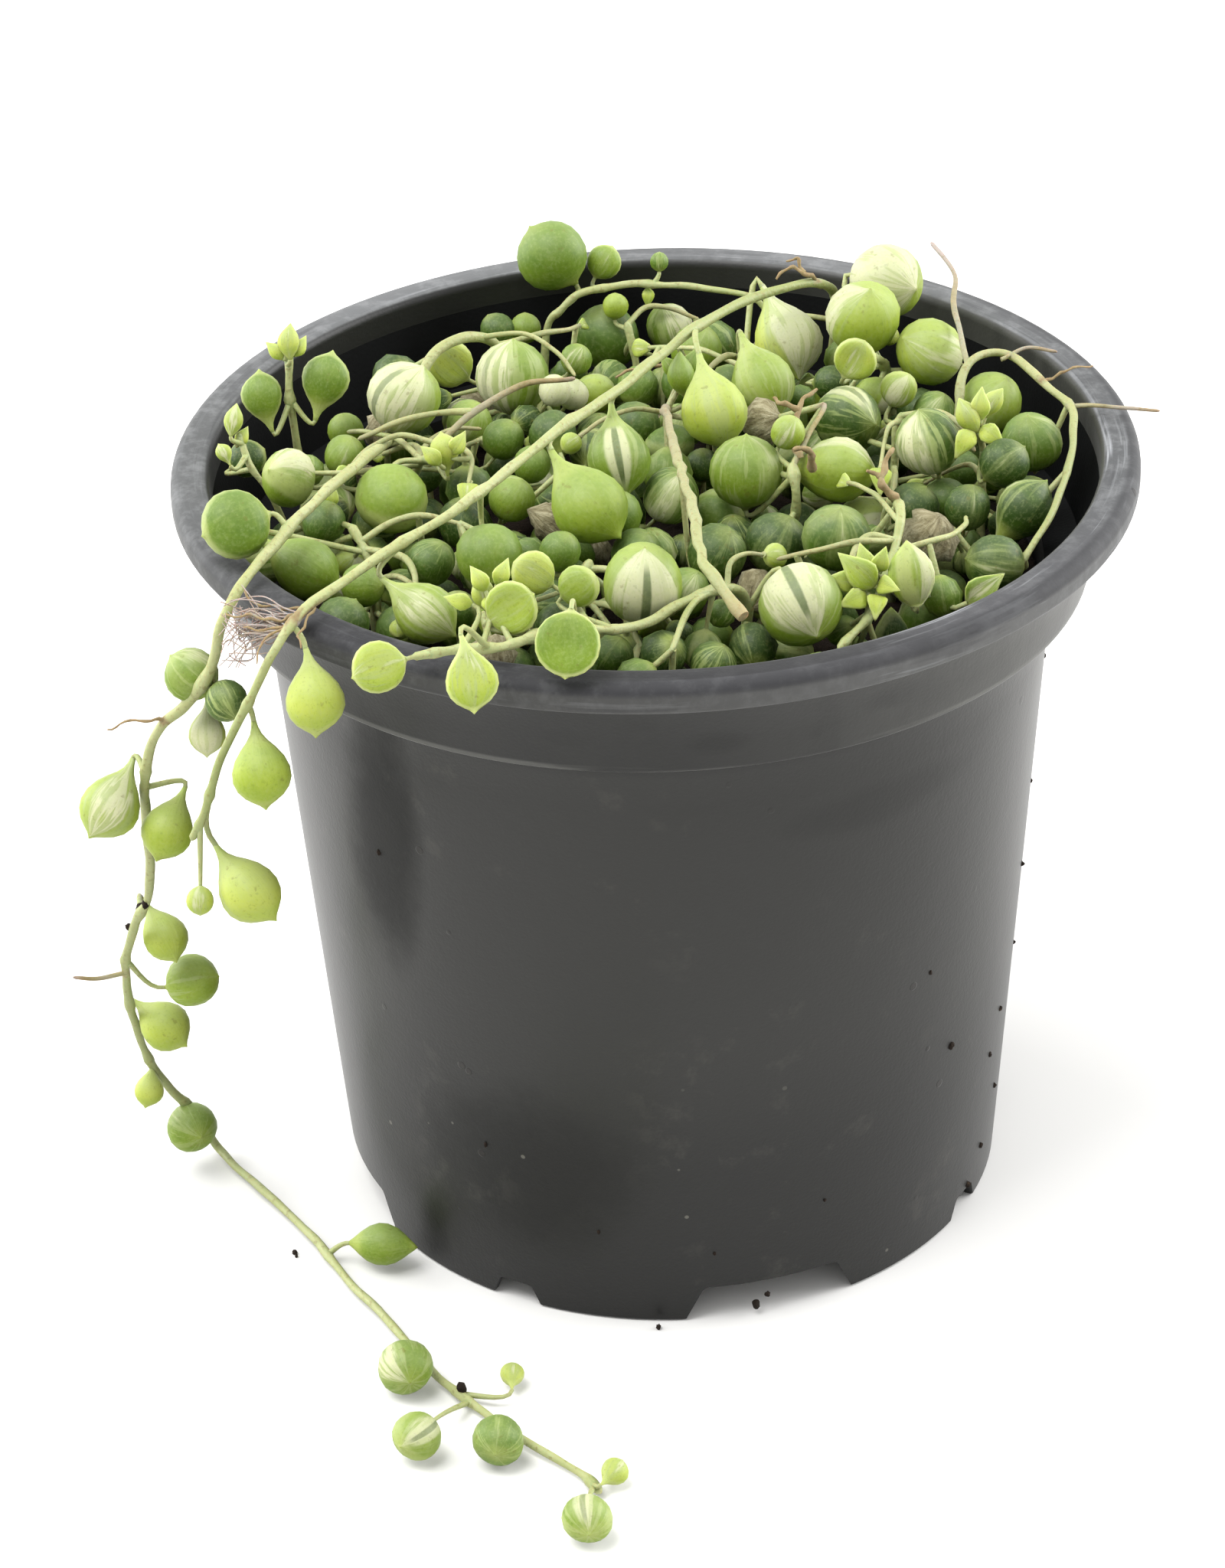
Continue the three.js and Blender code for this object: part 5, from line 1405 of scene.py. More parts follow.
def fill_crown(stems, leaves):
    """Adds small leaves low in the crown, where they clear every leaf, stem, stalk and the pot."""
    draw = seeded_random(SEED + 2)
    looks = seeded_random(SEED + 3)
    begins = [stem["points"][:-1] for stem in stems] + [np.array([leaf.start]) for leaf in leaves]
    ends = [stem["points"][1:] for stem in stems] + [np.array([leaf.centre]) for leaf in leaves]
    widths = [np.full(len(stem["points"]) - 1, stem["radius"]) for stem in stems]
    widths.append(np.full(len(leaves), PETIOLE_RADIUS))
    owner = np.concatenate([np.full(len(stem["points"]) - 1, stem["strand"]) for stem in stems])
    begin, end, width = np.vstack(begins), np.vstack(ends), np.concatenate(widths)
    centres = np.array([leaf.centre for leaf in leaves])
    rooms = np.array([leaf.room for leaf in leaves])
    shown = len(leaves)
    for low, high in FILLER_RADII:
        for _ in range(FILLER_TRIES):
            turn, share, rise, size = 2 * math.pi * draw(), draw(), draw(), draw()
            reach = FILLER_REACH + (FILLER_FRONT_REACH - FILLER_REACH) * max(0, -math.sin(turn))
            distance = reach * math.sqrt(share)
            radius = low + (high - low) * size
            height = soil_height(distance) + radius + SEAT_GAP + FILLER_RISE * rise
            place = np.array([distance * math.cos(turn), distance * math.sin(turn), height])
            gaps = np.linalg.norm(centres - place, axis=1) - rooms
            if gaps.min() < radius + FILLER_GAP:
                continue
            sideways = np.hypot(*(centres[:shown, :2] - place[:2]).T)
            near = sideways < FILLER_STALK_REACH
            if not near.any():
                continue
            cover = np.average(centres[:shown, 2][near], weights=1 / (sideways[near] + 1))
            if place[2] > cover:
                continue
            _, spots, gaps = nearest_shares(place, begin, end - begin, ((end - begin) ** 2).sum(1) + 1e-9)
            if (gaps - width).min() < radius + FILLER_GAP:
                continue
            near_stem = int(np.argmin(gaps[:len(owner)]))
            foot = place - np.array([0, 0, place[2] - soil_height(distance) + 0.5])
            feet = [foot] if gaps[near_stem] > FILLER_STALK_REACH else [spots[near_stem], foot]
            starts = [spot for spot in feet if stalk_is_clear(spot, place, radius, centres, rooms)]
            if not starts:
                continue
            form = "sliver" if looks() < SLIVER_SHARE else "filler"
            leaf = Leaf(int(owner[near_stem]), None, place, radius, form, 1, 0, 1, chance_look(looks))
            leaf.centre, leaf.start = place, starts[0]
            leaf.dried = looks() < DRIED_SHARE
            leaves.append(leaf)
            centres = np.vstack([centres, place])
            rooms = np.append(rooms, radius)
            begin, end = np.vstack([begin, starts[0]]), np.vstack([end, place])
            width = np.append(width, STALK_RADIUS[1])


def add_buds(stems, leaves):
    """Adds the small buds and bracts, each on the nearest point of its strand's stems."""
    names = [strand["name"] for strand in STRANDS]
    for name, buds in BUDS.items():
        index = names.index(name)
        points = np.vstack([stem["points"] for stem in stems if stem["strand"] == index])
        for x, y, z, radius, tint, rim, aim, lean in buds:
            place = np.array([x, y, z])
            look = [tint, 0.05, 0, 0.3, 0, rim, aim, lean]
            bud = Leaf(index, None, [x, y, z], radius, "bract", 0, 0, 1, look)
            bud.centre = place
            bud.start = points[int(np.argmin(np.linalg.norm(points - place, axis=1)))]
            leaves.append(bud)


def mark_leaves(leaves):
    """Marks the leaves that have dried, and gives some their drawn form."""
    names = [strand["name"] for strand in STRANDS]

    def leaf_of(name, place):
        return [leaf for leaf in leaves if leaf.strand == names.index(name)][place]

    for name, place in DRIED:
        leaf_of(name, place).dried = True
    for name, place, form, share, shift in RESHAPED:
        leaf = leaf_of(name, place)
        leaf.form = form
        leaf.radius *= share
        leaf.centre = leaf.centre + np.array(shift)


def stalk_is_clear(start, place, radius, centres, rooms):
    """True where a straight stalk from a start to a leaf passes no other leaf too closely."""
    along = place - start
    length = np.linalg.norm(along)
    if length < radius:
        return True
    steps = np.linspace(0, 1 - radius / length, 8)[:, None]
    points = start + steps * along
    gaps = np.linalg.norm(points[:, None] - centres[None], axis=2) - rooms
    return gaps.min() > STALK_RADIUS[1] + FILLER_GAP


def nearest_shares(place, starts, alongs, lengths):
    """The nearest point of each straight piece to a place: its share along, itself and its distance."""
    shares = np.clip(((place - starts) * alongs).sum(1) / lengths, 0, 1)
    near = starts + shares[:, None] * alongs
    return shares, near, np.linalg.norm(near - place, axis=1)


def find_start(leaf, centre, stem):
    """Where a leaf's stalk leaves its stem: the nearest point, then back along the stem by the lead."""
    points, alongs, squares, lengths, travelled = stem
    shares, _, gaps = nearest_shares(centre, points[:-1], alongs, squares)
    best = int(np.argmin(gaps))
    distance = travelled[best] + shares[best] * lengths[best]
    left = max(ROOT_DEPTH + ROOT_RISE, min(travelled[-1] - PETIOLE_RADIUS, distance - leaf.lead))
    piece = min(int(np.searchsorted(travelled[1:], left)), len(lengths) - 1)
    return points[piece] + alongs[piece] * ((left - travelled[piece]) / lengths[piece])


def part_from_pot(leaf, centre, outline):
    """Keeps a leaf above the soil and off the pot, inside it or outside."""
    distance = math.hypot(centre[0], centre[1])
    height = centre[2]
    lowest = soil_height(distance) + leaf.room + SEAT_GAP
    if distance < BODY_TOP_RADIUS and leaf.home[2] > SOIL_EDGE_HEIGHT and height < lowest:
        height = lowest
    x, z = distance, height
    need = leaf.room + 2 * SEAT_GAP
    for (x0, z0), (x1, z1) in zip(outline, outline[1:]):
        dx, dz = x1 - x0, z1 - z0
        share = min(1, max(0, ((x - x0) * dx + (z - z0) * dz) / (dx * dx + dz * dz)))
        ax, az = x - x0 - share * dx, z - z0 - share * dz
        away = math.hypot(ax, az)
        if away < need:
            x += ax * (need / away - 1)
            z += az * (need / away - 1)
    return np.array([centre[0] * x / distance, centre[1] * x / distance, max(z, leaf.room + SEAT_GAP)])


def settle(stems, leaves):
    """Lets the leaves move apart until none touches a leaf, stalk or stem of another strand."""
    outline = pot_outline()
    mains = {}
    for leaf in leaves:
        points = stems[leaf.main]["points"]
        alongs = points[1:] - points[:-1]
        lengths = np.linalg.norm(alongs, axis=1)
        travelled = np.concatenate([[0], np.cumsum(lengths)])
        mains[leaf.main] = (points, alongs, lengths**2, lengths, travelled)
    bars = np.vstack([stem["points"][:-1] for stem in stems])
    bar_alongs = np.vstack([stem["points"][1:] - stem["points"][:-1] for stem in stems])
    bar_squares = (bar_alongs**2).sum(1)
    bar_strands = np.concatenate([[stem["strand"]] * (len(stem["points"]) - 1) for stem in stems])
    bar_radii = np.concatenate([[stem["radius"]] * (len(stem["points"]) - 1) for stem in stems])
    home = np.array([leaf.home for leaf in leaves], dtype=float)
    centre = home.copy()
    start = home.copy()
    room = np.array([leaf.room for leaf in leaves])
    give = [leaf.give for leaf in leaves]
    hold = np.array([leaf.hold for leaf in leaves])[:, None]
    strand = np.array([leaf.strand for leaf in leaves])

    def part_from_bar(index, begin, along, square, bar_radius, owner):
        """Moves a leaf off a piece of stem or stalk, and the stalk's own leaf the other way."""
        share = min(1, max(0, float((centre[index] - begin) @ along) / max(square, 1e-9)))
        away = centre[index] - begin - share * along
        distance = max(math.sqrt(away @ away), 0.01)
        need = room[index] + bar_radius + LEAF_GAP
        if distance >= need:
            return
        away *= (need - distance) / distance
        part = 1 if owner is None else give[index] / (give[index] + give[owner])
        centre[index] += away * part
        if owner is not None:
            centre[owner] += away * (part - 1)

    for turn in range(SETTLE_ROUNDS):
        if turn < HOLDING_SHARE * SETTLE_ROUNDS:
            centre += (home - centre) * hold
        for index, leaf in enumerate(leaves):
            start[index] = find_start(leaf, centre[index], mains[leaf.main])
        for index, leaf in enumerate(leaves):
            gaps = np.linalg.norm(centre[index + 1:] - centre[index], axis=1)
            for other in np.nonzero(gaps < room[index] + room[index + 1:] + 2)[0] + index + 1:
                away = centre[other] - centre[index]
                distance = math.sqrt(away @ away)
                need = room[index] + room[other] + LEAF_GAP
                if distance < need:
                    away *= (need - distance) / (distance * (give[index] + give[other]))
                    centre[index] -= away * give[index]
                    centre[other] += away * give[other]
            alongs = centre - start
            squares = np.maximum((alongs**2).sum(1), 1e-9)
            _, _, gaps = nearest_shares(centre[index], start, alongs, squares)
            close = (gaps < room[index] + PETIOLE_RADIUS + LEAF_GAP + 2) & (strand != leaf.strand)
            for other in np.nonzero(close)[0]:
                along = centre[other] - start[other]
                part_from_bar(index, start[other], along, along @ along, PETIOLE_RADIUS, other)
            _, _, gaps = nearest_shares(centre[index], bars, bar_alongs, bar_squares)
            close = (gaps < room[index] + bar_radii + LEAF_GAP + 2) & (bar_strands != leaf.strand)
            for bar in np.nonzero(close)[0]:
                part_from_bar(index, bars[bar], bar_alongs[bar], bar_squares[bar], bar_radii[bar], None)
            centre[index] = part_from_pot(leaf, centre[index], outline)
    for index, leaf in enumerate(leaves):
        leaf.centre = centre[index]
        leaf.start = find_start(leaf, centre[index], mains[leaf.main])


# Leaves

def leaf_axis(leaf):
    """Where the tip points, and the part of the leaf's side that faces the front view."""
    aim, lean = leaf.look[6], math.radians(leaf.look[7])
    if aim is None:
        axis = Vector(leaf.centre - leaf.start).normalized()
    elif leaf.centre[2] < FLOOR_LEAF_HEIGHT:
        turn = math.radians(aim)
        axis = Vector((math.cos(turn), math.sin(turn) / math.sin(PITCH), 0)).normalized()
        axis = (axis * math.cos(lean) + Vector((0, 0, math.sin(lean)))).normalized()
    else:
        turn = math.radians(aim)
        flat = VIEW_RIGHT * math.cos(turn) + VIEW_UP * math.sin(turn)
        axis = flat * math.cos(lean) + VIEW_BACK * math.sin(lean)
    front = VIEW_BACK - axis * VIEW_BACK.dot(axis)
    return axis, front.normalized()


def set_colors(mesh, name, values):
    """The same colour mark at every point of a mesh."""
    layer = mesh.attributes.new(name, "FLOAT_COLOR", "POINT")
    layer.data.foreach_set("color", np.tile(values, len(mesh.vertices)))


def set_vectors(mesh, name, values):
    """A mark of three numbers at each point of a mesh."""
    layer = mesh.attributes.new(name, "FLOAT_VECTOR", "POINT")
    layer.data.foreach_set("vector", values.astype(np.float32).ravel())


def place_leaf(leaf, master, draw):
    """A copy of a leaf body, a little uneven, at its place, with its marks for the finish."""
    body = twin_of(master, "leaf")
    mesh = body.data
    points = get_points(mesh)
    tint, cream, side, streak, slit, rim, _, _ = leaf.look
    side = math.radians(side)
    turned = points.copy()
    turned[:, 0] = points[:, 0] * math.cos(side) + points[:, 1] * math.sin(side)
    turned[:, 1] = points[:, 1] * math.cos(side) - points[:, 0] * math.sin(side)
    tip = LEAF_ROWS[leaf.form][-1][0]
    turned[:, 2] = np.where(points[:, 2] > 0, points[:, 2] * TIP_MARKS[1] / tip, points[:, 2])
    set_vectors(mesh, "leaf_place", turned)
    set_colors(mesh, "leaf_look", [tint, cream, streak, draw()])

    angle = np.arctan2(points[:, 1], points[:, 0])
    out = np.hypot(points[:, 0], points[:, 1])
    swell = 1 + LOBES[0] * np.cos(2 * angle + 6.3 * draw()) + LOBES[1] * np.cos(3 * angle + 6.3 * draw())
    middle = np.clip(1 - points[:, 2] ** 2, 0, 1)
    off_slit = (angle - side + math.pi) % (2 * math.pi) - math.pi
    swell -= SLIT_GROOVE * slit * np.exp(-(off_slit / SLIT_WIDTH) ** 2) * middle
    if leaf.dried:
        shift = Vector((50 * draw(), 0, 0))
        lumps = np.array([noise.noise(Vector(point) * HUSK_LUMPS + shift) for point in points])
        swell *= 1 + HUSK_CRUMPLE * lumps
        points[:, 2] *= HUSK_LENGTH
    points[:, :2] *= swell[:, None]
    hollow = max(0, 2 * rim - 1)
    points[:, 0] *= THIN_SHARE if leaf.form in THIN_FORMS else 1 - RIM_THINNING * rim
    facing_you = points[:, 0] > 0
    bowl = np.clip(1 - points[:, 1] ** 2 - (points[:, 2] / tip) ** 2, 0, 1)
    points[:, 0] -= CUP_DEPTH * hollow * bowl * facing_you
    if leaf.form in THIN_FORMS:
        points[:, 0] += 0.5 * points[:, 1] ** 2 - 0.12 * points[:, 2] ** 2
    points[:, 0] += (draw() - 0.5) * TIP_BEND * points[:, 2] ** 2 * (out > 0)
    points[:, 1] += (draw() - 0.5) * TIP_BEND * points[:, 2] ** 2 * (out > 0)

    axis, front = leaf_axis(leaf)
    across = axis.cross(front)
    basis = np.array([front, across, axis])
    foot = points[points[:, 2] < points[:, 2].min() + 0.001].mean(0) @ basis
    points = points @ basis
    marks = np.column_stack([np.full(len(points), slit), np.full(len(points), rim), points[:, 2]])
    set_vectors(mesh, "leaf_marks", marks)
    set_points(mesh, (points * leaf.radius + leaf.centre) * MM)
    leaf.axis = np.array(axis)
    leaf.neck = leaf.centre + foot * leaf.radius
    return body


# Stems, stalks and roots

def tube(curve, points, radii):
    """Adds a round tube through points to a curve."""
    spline = curve.splines.new("POLY")
    spline.points.add(len(points) - 1)
    for place, point, radius in zip(spline.points, points, radii):
        place.co = (*(point * MM), 1)
        place.radius = radius * MM


def tubes_piece(name, runs):
    """One mesh of round tubes. A run is its points, its radii and its three marks at every point."""
    curve = bpy.data.curves.new(name, "CURVE")
    curve.dimensions = "3D"
    curve.bevel_depth = 1
    curve.bevel_resolution = 3
    curve.use_fill_caps = True
    for points, radii, _ in runs:
        tube(curve, points, radii)
    piece = bpy.data.objects.new(name, curve)
    bpy.context.collection.objects.link(piece)
    clear_selection()
    piece.select_set(True)
    bpy.context.view_layer.objects.active = piece
    bpy.ops.object.convert(target="MESH")
    bpy.ops.object.shade_smooth()
    mesh = piece.data
    places = np.vstack([points for points, _, _ in runs]) * MM
    marks = np.vstack([marks for _, _, marks in runs])
    tree = kdtree.KDTree(len(places))
    for index, point in enumerate(places):
        tree.insert(point, index)
    tree.balance()
    look = np.zeros((len(mesh.vertices), 4))
    for vertex in mesh.vertices:
        look[vertex.index, :3] = marks[tree.find(vertex.co)[1]]
    look[:, 3] = 1
    layer = mesh.attributes.new("stem_look", "FLOAT_COLOR", "POINT")
    layer.data.foreach_set("color", look.ravel())
    return piece


def stem_run(stem, leaves, dry_foot, dry_end, name, draw):
    """A stem with its joints a little thicker, and a rounded end."""
    points = curve_points(stem["route"], STEM_STEPS)
    count = len(points)
    share = np.linspace(0, 1, count)
    radii = STEM_SHARE * SLIMNESS.get(name, 1) * stem["radius"] * (1.04 - 0.32 * share**1.3)
    for leaf in leaves:
        gap = np.linalg.norm(points - leaf.start, axis=1)
        radii += KNOB * stem["radius"] * np.exp(-((gap / KNOB_LENGTH) ** 2))
    wobble = wave(points, 0.23, 31, 3)
    points = points + STEM_WANDER * wobble * (share > 0.03)[:, None]
    radii *= 1 + STEM_UNEVENNESS * wobble[:, 2]
    tip = points[-1] + (points[-1] - points[-2]) / np.linalg.norm(points[-1] - points[-2]) * 0.35
    points = np.vstack([points, tip])
    radii = np.append(radii, radii[-1] * 0.45)
    dry = dry_foot + (dry_end - dry_foot) * share
    shade = np.clip(GREENNESS.get(name, 0) + 0.3 * draw() + 0.3 * np.sin(share * 9 + 6 * draw()), 0, 1)
    marks = np.column_stack([np.append(dry, dry[-1]), np.append(shade, shade[-1]), np.zeros(count + 1)])
    return points, radii, marks


def stub_run(stem):
    """The cut stub: thin and brown where it dried, pale in its middle, thicker and tan at the cut."""
    points = curve_points(stem["route"], STEM_STEPS)
    share = np.linspace(0, 1, len(points))
    kink = wave(points, 0.45, 17, 2)
    points[:, :2] += 0.8 * kink * np.clip(1.2 - share, 0, 1)[:, None] * (share > 0.05)[:, None]
    radii = np.interp(share, [0, 0.25, 0.5, 0.8, 0.97, 1], [0.45, 0.42, 0.5, 0.6, 0.7, 0.62])
    radii *= 1 + 0.12 * np.sin(share * 40)
    dry = np.interp(share, [0, 0.3, 0.5, 0.8, 0.95, 1], [1, 1, 0.5, 0.1, 0.35, 0.6])
    flush = np.interp(share, [0, 0.88, 1], [0, 0, 0.6])
    shade = np.full(len(points), 0.3)
    return points, radii, np.column_stack([dry, shade, flush])


def stalk_run(leaf, dry):
    """A leaf's stalk: out of the stem and round into the leaf's neck."""
    start, neck = leaf.start, leaf.neck + leaf.axis * leaf.radius * 0.06
    reach = np.linalg.norm(neck - start)
    rise = (neck - start) / max(reach, 0.01)
    first = start + rise * reach * 0.24
    second = neck - leaf.axis * reach * 0.4
    steps = 4 if leaf.form in FILLER_FORMS else 8
    t = np.linspace(0, 1, steps)[:, None]
    points = (1 - t)**3 * start + 3 * (1 - t)**2 * t * first + 3 * (1 - t) * t**2 * second + t**3 * neck
    neck_radius = LEAF_ROWS[leaf.form][0][1] * leaf.radius * 1.05
    radii = np.linspace(STALK_RADIUS[0], max(neck_radius, STALK_RADIUS[1] * 0.8), steps)
    marks = np.column_stack([np.full(steps, dry * 0.6), np.full(steps, 0.25), np.zeros(steps)])
    return points, radii, marks


def wave(points, fineness, apart, ways):
    """Smooth chance bends along a line of points, one column for each way."""
    return np.array([[noise.noise(Vector(point) * fineness + Vector((way * apart, 0, 0)))
                      for way in range(ways)] for point in points])


def twig_run(radius, route):
    """A dry twig, tendril or root, thinner to its end."""
    points = curve_points(route, TWIG_STEPS)
    share = np.linspace(0, 1, len(points))
    points = points + 0.5 * wave(points, 0.6, 23, 3) * (share > 0.05)[:, None]
    radii = radius * (1 - 0.55 * share) * (1 + 0.2 * np.sin(share * 23))
    return points, radii, np.column_stack([np.full(len(points), 0.95), 0 * share, 0 * share])


def hair_run(draw):
    """One fine root hair, curled between a foot on the strand and an end over the lip."""
    lines = np.array([HAIR_FEET, HAIR_ENDS])
    foot, end = (low + (high - low) * draw() for low, high in lines)
    knots = [foot]
    for share in (0.3, 0.6, 0.85, 1):
        stray = np.array([draw() - 0.5, draw() - 0.5, draw() - 0.35]) * 2 * HAIR_STRAY * share
        knots.append(foot + (end - foot) * share + stray)
    points = curve_points(knots, HAIR_STEPS)
    share = np.linspace(0, 1, len(points))
    radii = HAIR_RADIUS * (1.3 - 0.6 * share)
    return points, radii, np.column_stack([0 * share + 0.95, 0 * share + 0.45 + 0.55 * draw(), 0 * share])


def grow_strand(index, stems, leaves, masters, finishes):
    """One piece of a strand's stems, stalks, leaves, buds, twigs and roots."""
    strand = STRANDS[index]
    draw = seeded_random(SEED * 7 + index)
    own = [leaf for leaf in leaves if leaf.strand == index]
    bodies = [place_leaf(leaf, masters[leaf.form], draw) for leaf in own]
    for leaf, body in zip(own, bodies):
        body.data.materials.append(finishes["husk" if leaf.dried else "leaf"])
    dry_foot, dry_end = DRYNESS.get(strand["name"], USUAL_DRYNESS)
    runs = []
    for order, stem in enumerate(stem for stem in stems if stem["strand"] == index):
        if order == 0 and strand["name"] == "stub_cut_dry":
            runs.append(stub_run(stem))
            continue
        feet = [leaf for leaf in own if leaf.form not in FILLER_FORMS] if order == 0 else []
        ends = (dry_foot, dry_end) if order == 0 else stem.get("dry", SIDE_TWIG_DRYNESS)
        runs.append(stem_run(stem, feet, *ends, strand["name"], draw))
    runs += [stalk_run(leaf, dry_end) for leaf in own]
    runs += [twig_run(radius, route) for radius, route in TWIGS.get(strand["name"], [])]
    if strand["name"] == "strand_over_front_left":
        runs += [hair_run(draw) for _ in range(ROOT_HAIRS)]
    stalks = tubes_piece(strand["name"] + "_stems", runs)
    stalks.data.materials.append(finishes["stem"])
    piece = joined([stalks] + bodies, strand["name"] + "_grown")
    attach(piece, "root")
    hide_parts(strand["name"])
    return piece


def pot_radius(height):
    """Radius of the pot's outside at a height below its collar."""
    return BASE_RADIUS + (BODY_TOP_RADIUS - BASE_RADIUS) * height / (POT_HEIGHT - COLLAR_HEIGHT - 1)


def make_crumbs(finish):
    """Crumbs of soil that stick to the pot, hang in the trailing strand and lie on the floor."""
    draw = seeded_random(SEED + 4)
    clear_selection()
    bpy.ops.mesh.primitive_ico_sphere_add(subdivisions=2, radius=1)
    master = bpy.context.object
    places = list(LOOSE_CRUMBS)
    for degrees, height, size in CRUMBS_ON_POT:
        turn, radius = math.radians(degrees), pot_radius(height)
        places.append((radius * math.sin(turn), -radius * math.cos(turn), height, size))
    crumbs = []
    for x, y, z, size in places:
        crumb = twin_of(master, "crumb")
        points = get_points(crumb.data)
        shift = Vector((draw() * 50, draw() * 50, 0))
        lumps = np.array([1 + 0.5 * noise.noise(Vector(point) * CRUMB_LUMPS + shift) for point in points])
        stretch = np.array([0.7 + 0.5 * draw(), 0.7 + 0.5 * draw(), 0.9 + 0.6 * draw()])
        points *= (lumps * size)[:, None] * stretch
        points[:, 2] = np.maximum(points[:, 2], -z)
        set_points(crumb.data, (points + np.array([x, y, z])) * MM)
        crumbs.append(crumb)
    remove(master)
    piece = joined(crumbs, "soil_crumbs")
    piece.data.materials.append(finish)
    bpy.ops.object.shade_smooth()
    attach(piece, "root")
    return piece


# Pot and soil

def arc(middle_height, middle_radius, size, from_degrees, to_degrees, steps):
    """Rows round a rounded corner. 0 degrees is outwards and 90 is up."""
    rows = []
    for step in range(steps + 1):
        turn = math.radians(from_degrees + (to_degrees - from_degrees) * step / steps)
        rows.append((middle_height + size * math.sin(turn), middle_radius + size * math.cos(turn)))
    return rows


def pot_rows():
    """The pot's rows from its base, up the outside, over the lip and down the inside."""
    collar_foot = POT_HEIGHT - COLLAR_HEIGHT
    lip_inner = LIP_RADIUS - LIP_WIDTH
    channel = BASE_RADIUS - POT_WALL
    soft = COLLAR_FOOT_ROUNDING
    rows = [(0, CHANNEL_INNER_RADIUS), (CHANNEL_HEIGHT, CHANNEL_INNER_RADIUS + 1),
            (CHANNEL_HEIGHT, channel - 0.2), (0, channel), (0, BASE_RADIUS - 0.3), (0.3, BASE_RADIUS)]
    for share in (0.15, 0.35, 0.55, 0.75, 0.92):
        rows.append((share * (collar_foot - 1), BASE_RADIUS + share * (BODY_TOP_RADIUS - BASE_RADIUS)))
    rows += [(collar_foot - 1.9, BODY_TOP_RADIUS - 0.08), (collar_foot - 1.2, BODY_TOP_RADIUS + 0.2),
             (collar_foot - 0.6, BODY_TOP_RADIUS + 1.4)]
    rows += arc(collar_foot + soft, COLLAR_FOOT_RADIUS - soft, soft, -80, 5, 4)
    rows += [(collar_foot + 4, COLLAR_FOOT_RADIUS + 0.75),
             (POT_HEIGHT - LIP_DEPTH - 0.5, COLLAR_TOP_RADIUS - 0.1),
             (POT_HEIGHT - LIP_DEPTH, COLLAR_TOP_RADIUS + 0.3)]
    soft = LIP_FOOT_ROUNDING
    rows += arc(POT_HEIGHT - LIP_DEPTH + soft, LIP_RADIUS - soft, soft, -85, 0, 4)
    soft = LIP_OUTER_ROUNDING
    rows += arc(POT_HEIGHT - soft, LIP_RADIUS - soft, soft, 0, 88, 6)
    soft = LIP_INNER_ROUNDING
    rows += arc(POT_HEIGHT - soft, lip_inner + soft, soft, 92, 178, 5)
    rows += [(POT_HEIGHT - LIP_DEPTH, lip_inner - 0.1), (collar_foot + 1, COLLAR_FOOT_RADIUS - POT_WALL),
             (collar_foot - 0.2, BODY_TOP_RADIUS - POT_WALL), (CHANNEL_HEIGHT + POT_WALL, channel + 0.4),
             (CHANNEL_HEIGHT + POT_WALL, CHANNEL_INNER_RADIUS - 0.2), (POT_WALL, CHANNEL_INNER_RADIUS - 1.2),
             (POT_WALL, 1)]
    return rows


def notch_cutter(foot, top, height, degrees):
    """A wedge across the skirt, wider at its foot, at an angle round the pot."""
    clear_selection()
    bpy.ops.mesh.primitive_cube_add(size=1)
    cutter = bpy.context.object
    points = get_points(cutter.data)
    width = np.where(points[:, 2] > 0, top, foot)
    points[:, 0] *= width
    points[:, 1] = points[:, 1] * 12 - (CHANNEL_INNER_RADIUS + 8)
    points[:, 2] = np.where(points[:, 2] > 0, height, -1)
    set_points(cutter.data, points * MM)
    cutter.data.transform(Matrix.Rotation(math.radians(degrees), 4, "Z"))
    bpy.ops.object.modifier_add(type="BEVEL")
    cutter.modifiers[-1].width = NOTCH_ROUNDING * MM
    cutter.modifiers[-1].segments = 2
    bpy.ops.object.modifier_apply(modifier=cutter.modifiers[-1].name)
    return cutter


def drain_cutter(degrees):
    """A rod through the channel's roof, at an angle round the pot."""
    clear_selection()
    distance = (CHANNEL_INNER_RADIUS + BASE_RADIUS) / 2 * MM
    turn = math.radians(degrees)
    place = (distance * math.sin(turn), -distance * math.cos(turn), CHANNEL_HEIGHT * MM)
    bpy.ops.mesh.primitive_cylinder_add(vertices=24, radius=DRAIN_RADIUS * MM, depth=6 * MM, location=place)
    bpy.ops.object.transform_apply(location=True)
    return bpy.context.object


def is_inner_wall(face):
    """True for a face of the wall above the soil that looks into the pot."""
    middle = face.center / MM
    inwards = middle.x * face.normal.x + middle.y * face.normal.y < 0
    above_soil = POT_HEIGHT - COLLAR_HEIGHT - 8 < middle.z < POT_HEIGHT - LIP_DEPTH + 0.4
    return inwards and above_soil and math.hypot(middle.x, middle.y) < COLLAR_TOP_RADIUS


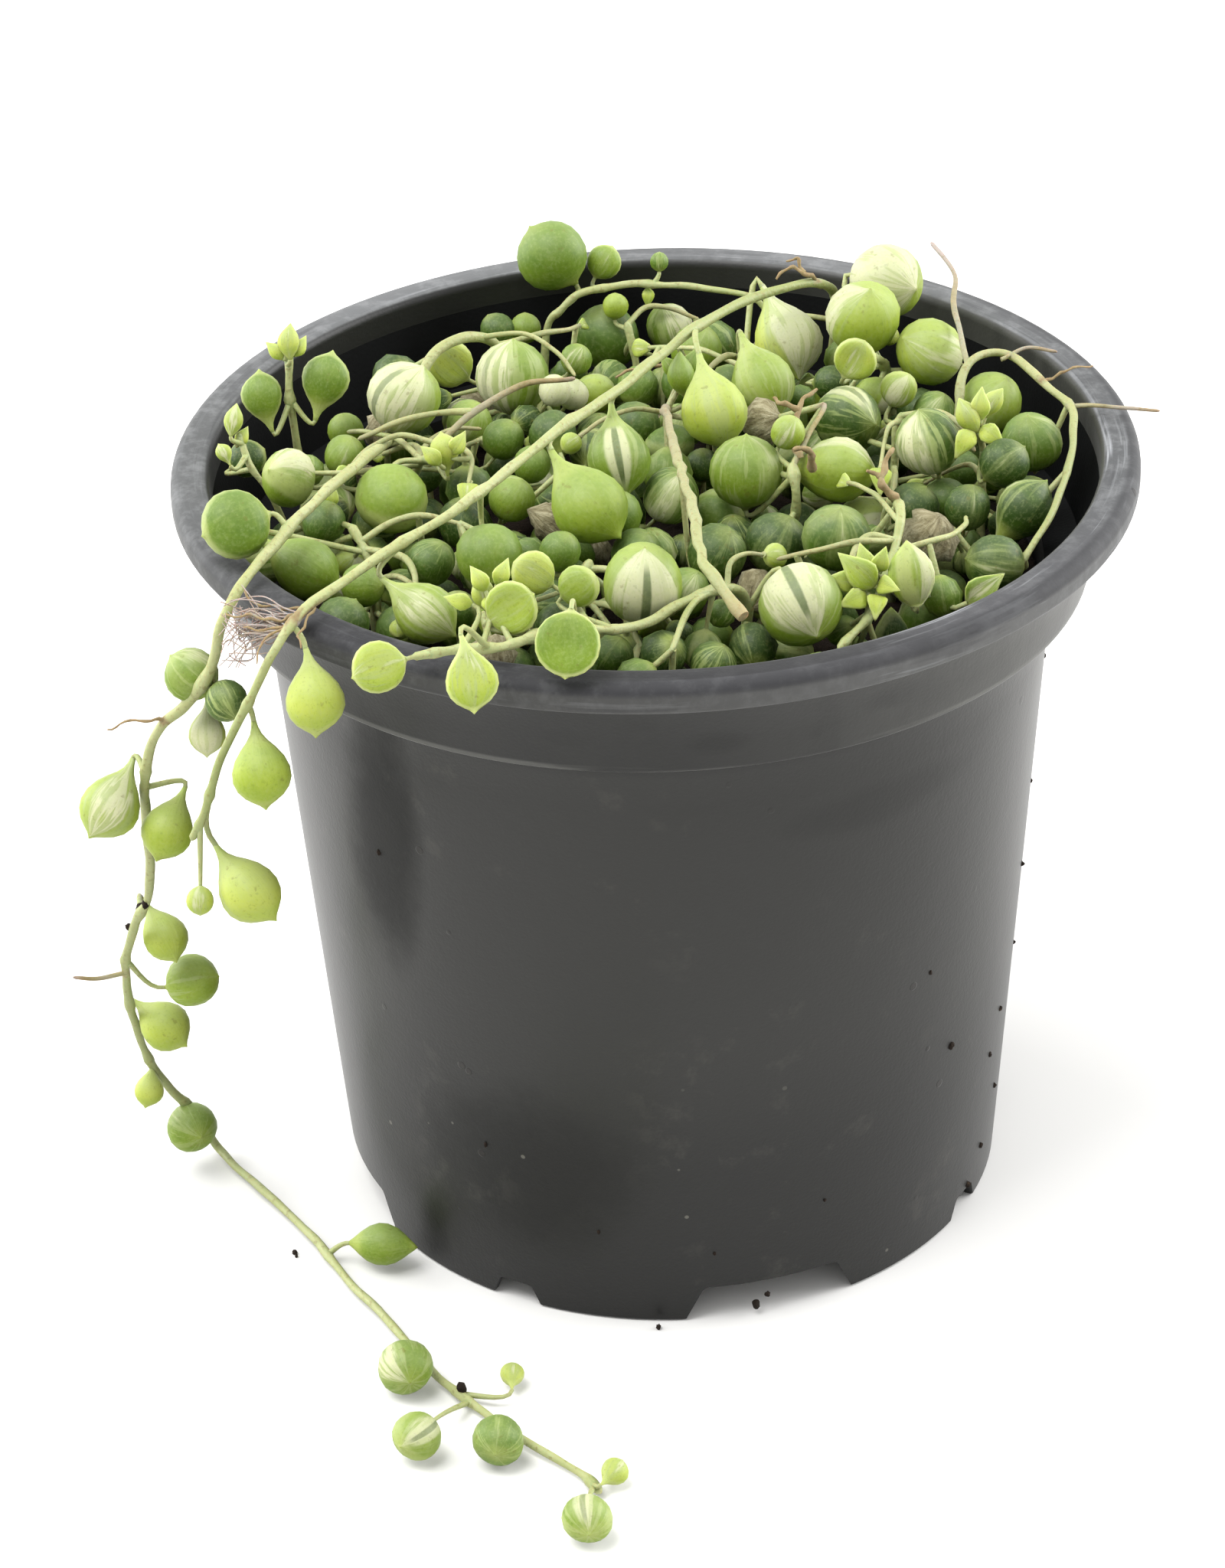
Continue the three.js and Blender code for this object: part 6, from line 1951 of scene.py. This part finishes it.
def make_pot(finish, inner_finish):
    """The pot in one piece, with its notches and drain holes cut and its inner wall given the shaded copy of
    its plastic.
    """
    pot = turned_body("nursery_pot", pot_rows(), POT_SIDES, MM)
    cutters = []
    for degrees in range(NOTCH_START, NOTCH_START + 360, 90):
        cutters.append(notch_cutter(*WIDE_NOTCH, degrees))
        cutters.append(notch_cutter(*SMALL_NOTCH, degrees + 45))
        cutters += [drain_cutter(degrees + turn) for turn in DRAIN_TURNS]
    tool = joined(cutters, "cutters")
    clear_selection()
    bpy.context.view_layer.objects.active = pot
    pot.select_set(True)
    bpy.ops.object.modifier_add(type="BOOLEAN")
    pot.modifiers[-1].operation = "DIFFERENCE"
    pot.modifiers[-1].object = tool
    bpy.ops.object.modifier_apply(modifier=pot.modifiers[-1].name)
    remove(tool)
    bpy.ops.object.shade_smooth_by_angle(angle=math.radians(SHARP_EDGE))
    pot.data.materials.clear()
    pot.data.materials.append(finish)
    pot.data.materials.append(inner_finish)
    for face in pot.data.polygons:
        face.material_index = int(is_inner_wall(face))
    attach(pot, "root")
    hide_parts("pot")
    return pot


def make_soil(finish):
    """The soil that fills the pot, its domed top broken into crumbs."""
    edge = BODY_TOP_RADIUS - POT_WALL - SEAT_GAP - 0.3
    floor = POT_WALL + SEAT_GAP
    channel = CHANNEL_HEIGHT + floor
    rows = [(floor, CHANNEL_INNER_RADIUS - 1.8), (channel, CHANNEL_INNER_RADIUS - 0.6),
            (channel, BASE_RADIUS - POT_WALL), SOIL_SIDE]
    for ring in range(SOIL_RINGS, 0, -1):
        distance = edge * ring / SOIL_RINGS
        rows.append((soil_height(distance) - SOIL_SINK, distance))
    soil = turned_body("peat_soil", rows, SOIL_SIDES, MM)
    points = get_points(soil.data)
    top = points[:, 2] > (SOIL_EDGE_HEIGHT - 4) * MM
    for index in np.nonzero(top)[0]:
        place = Vector(points[index]) / MM
        lump = noise.fractal(place * 0.35, 0.7, 2.1, 4) * 0.8 + noise.noise(place * 1.4) * 0.35
        points[index, 2] += max(SOIL_RELIEF[0], min(SOIL_RELIEF[1], lump)) * MM
    set_points(soil.data, points)
    soil.data.materials.append(finish)
    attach(soil, "root")
    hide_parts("soil")
    return soil


# The whole object

finishes = {"leaf": leaf_finish(), "stem": stem_finish(), "husk": husk_finish()}
set_camera()
set_studio()
set_floor()

plan_stems, plan_leaves = plant_plan()
settle(plan_stems, plan_leaves)
mark_leaves(plan_leaves)
wander_threads(plan_stems, plan_leaves)
fill_crown(plan_stems, plan_leaves)
add_buds(plan_stems, plan_leaves)
leaf_masters = {
    form: turned_body("leaf_" + form, rows, LEAF_SIDES if form in SHOWN_FORMS else FILLER_SIDES)
    for form, rows in LEAF_ROWS.items()
}
make_pot(pot_finish(), shaded_finish())
peat = soil_finish()
make_soil(peat)
make_crumbs(peat)
for strand_index in range(len(STRANDS)):
    grow_strand(strand_index, plan_stems, plan_leaves, leaf_masters, finishes)
for leaf_master in leaf_masters.values():
    remove(leaf_master)
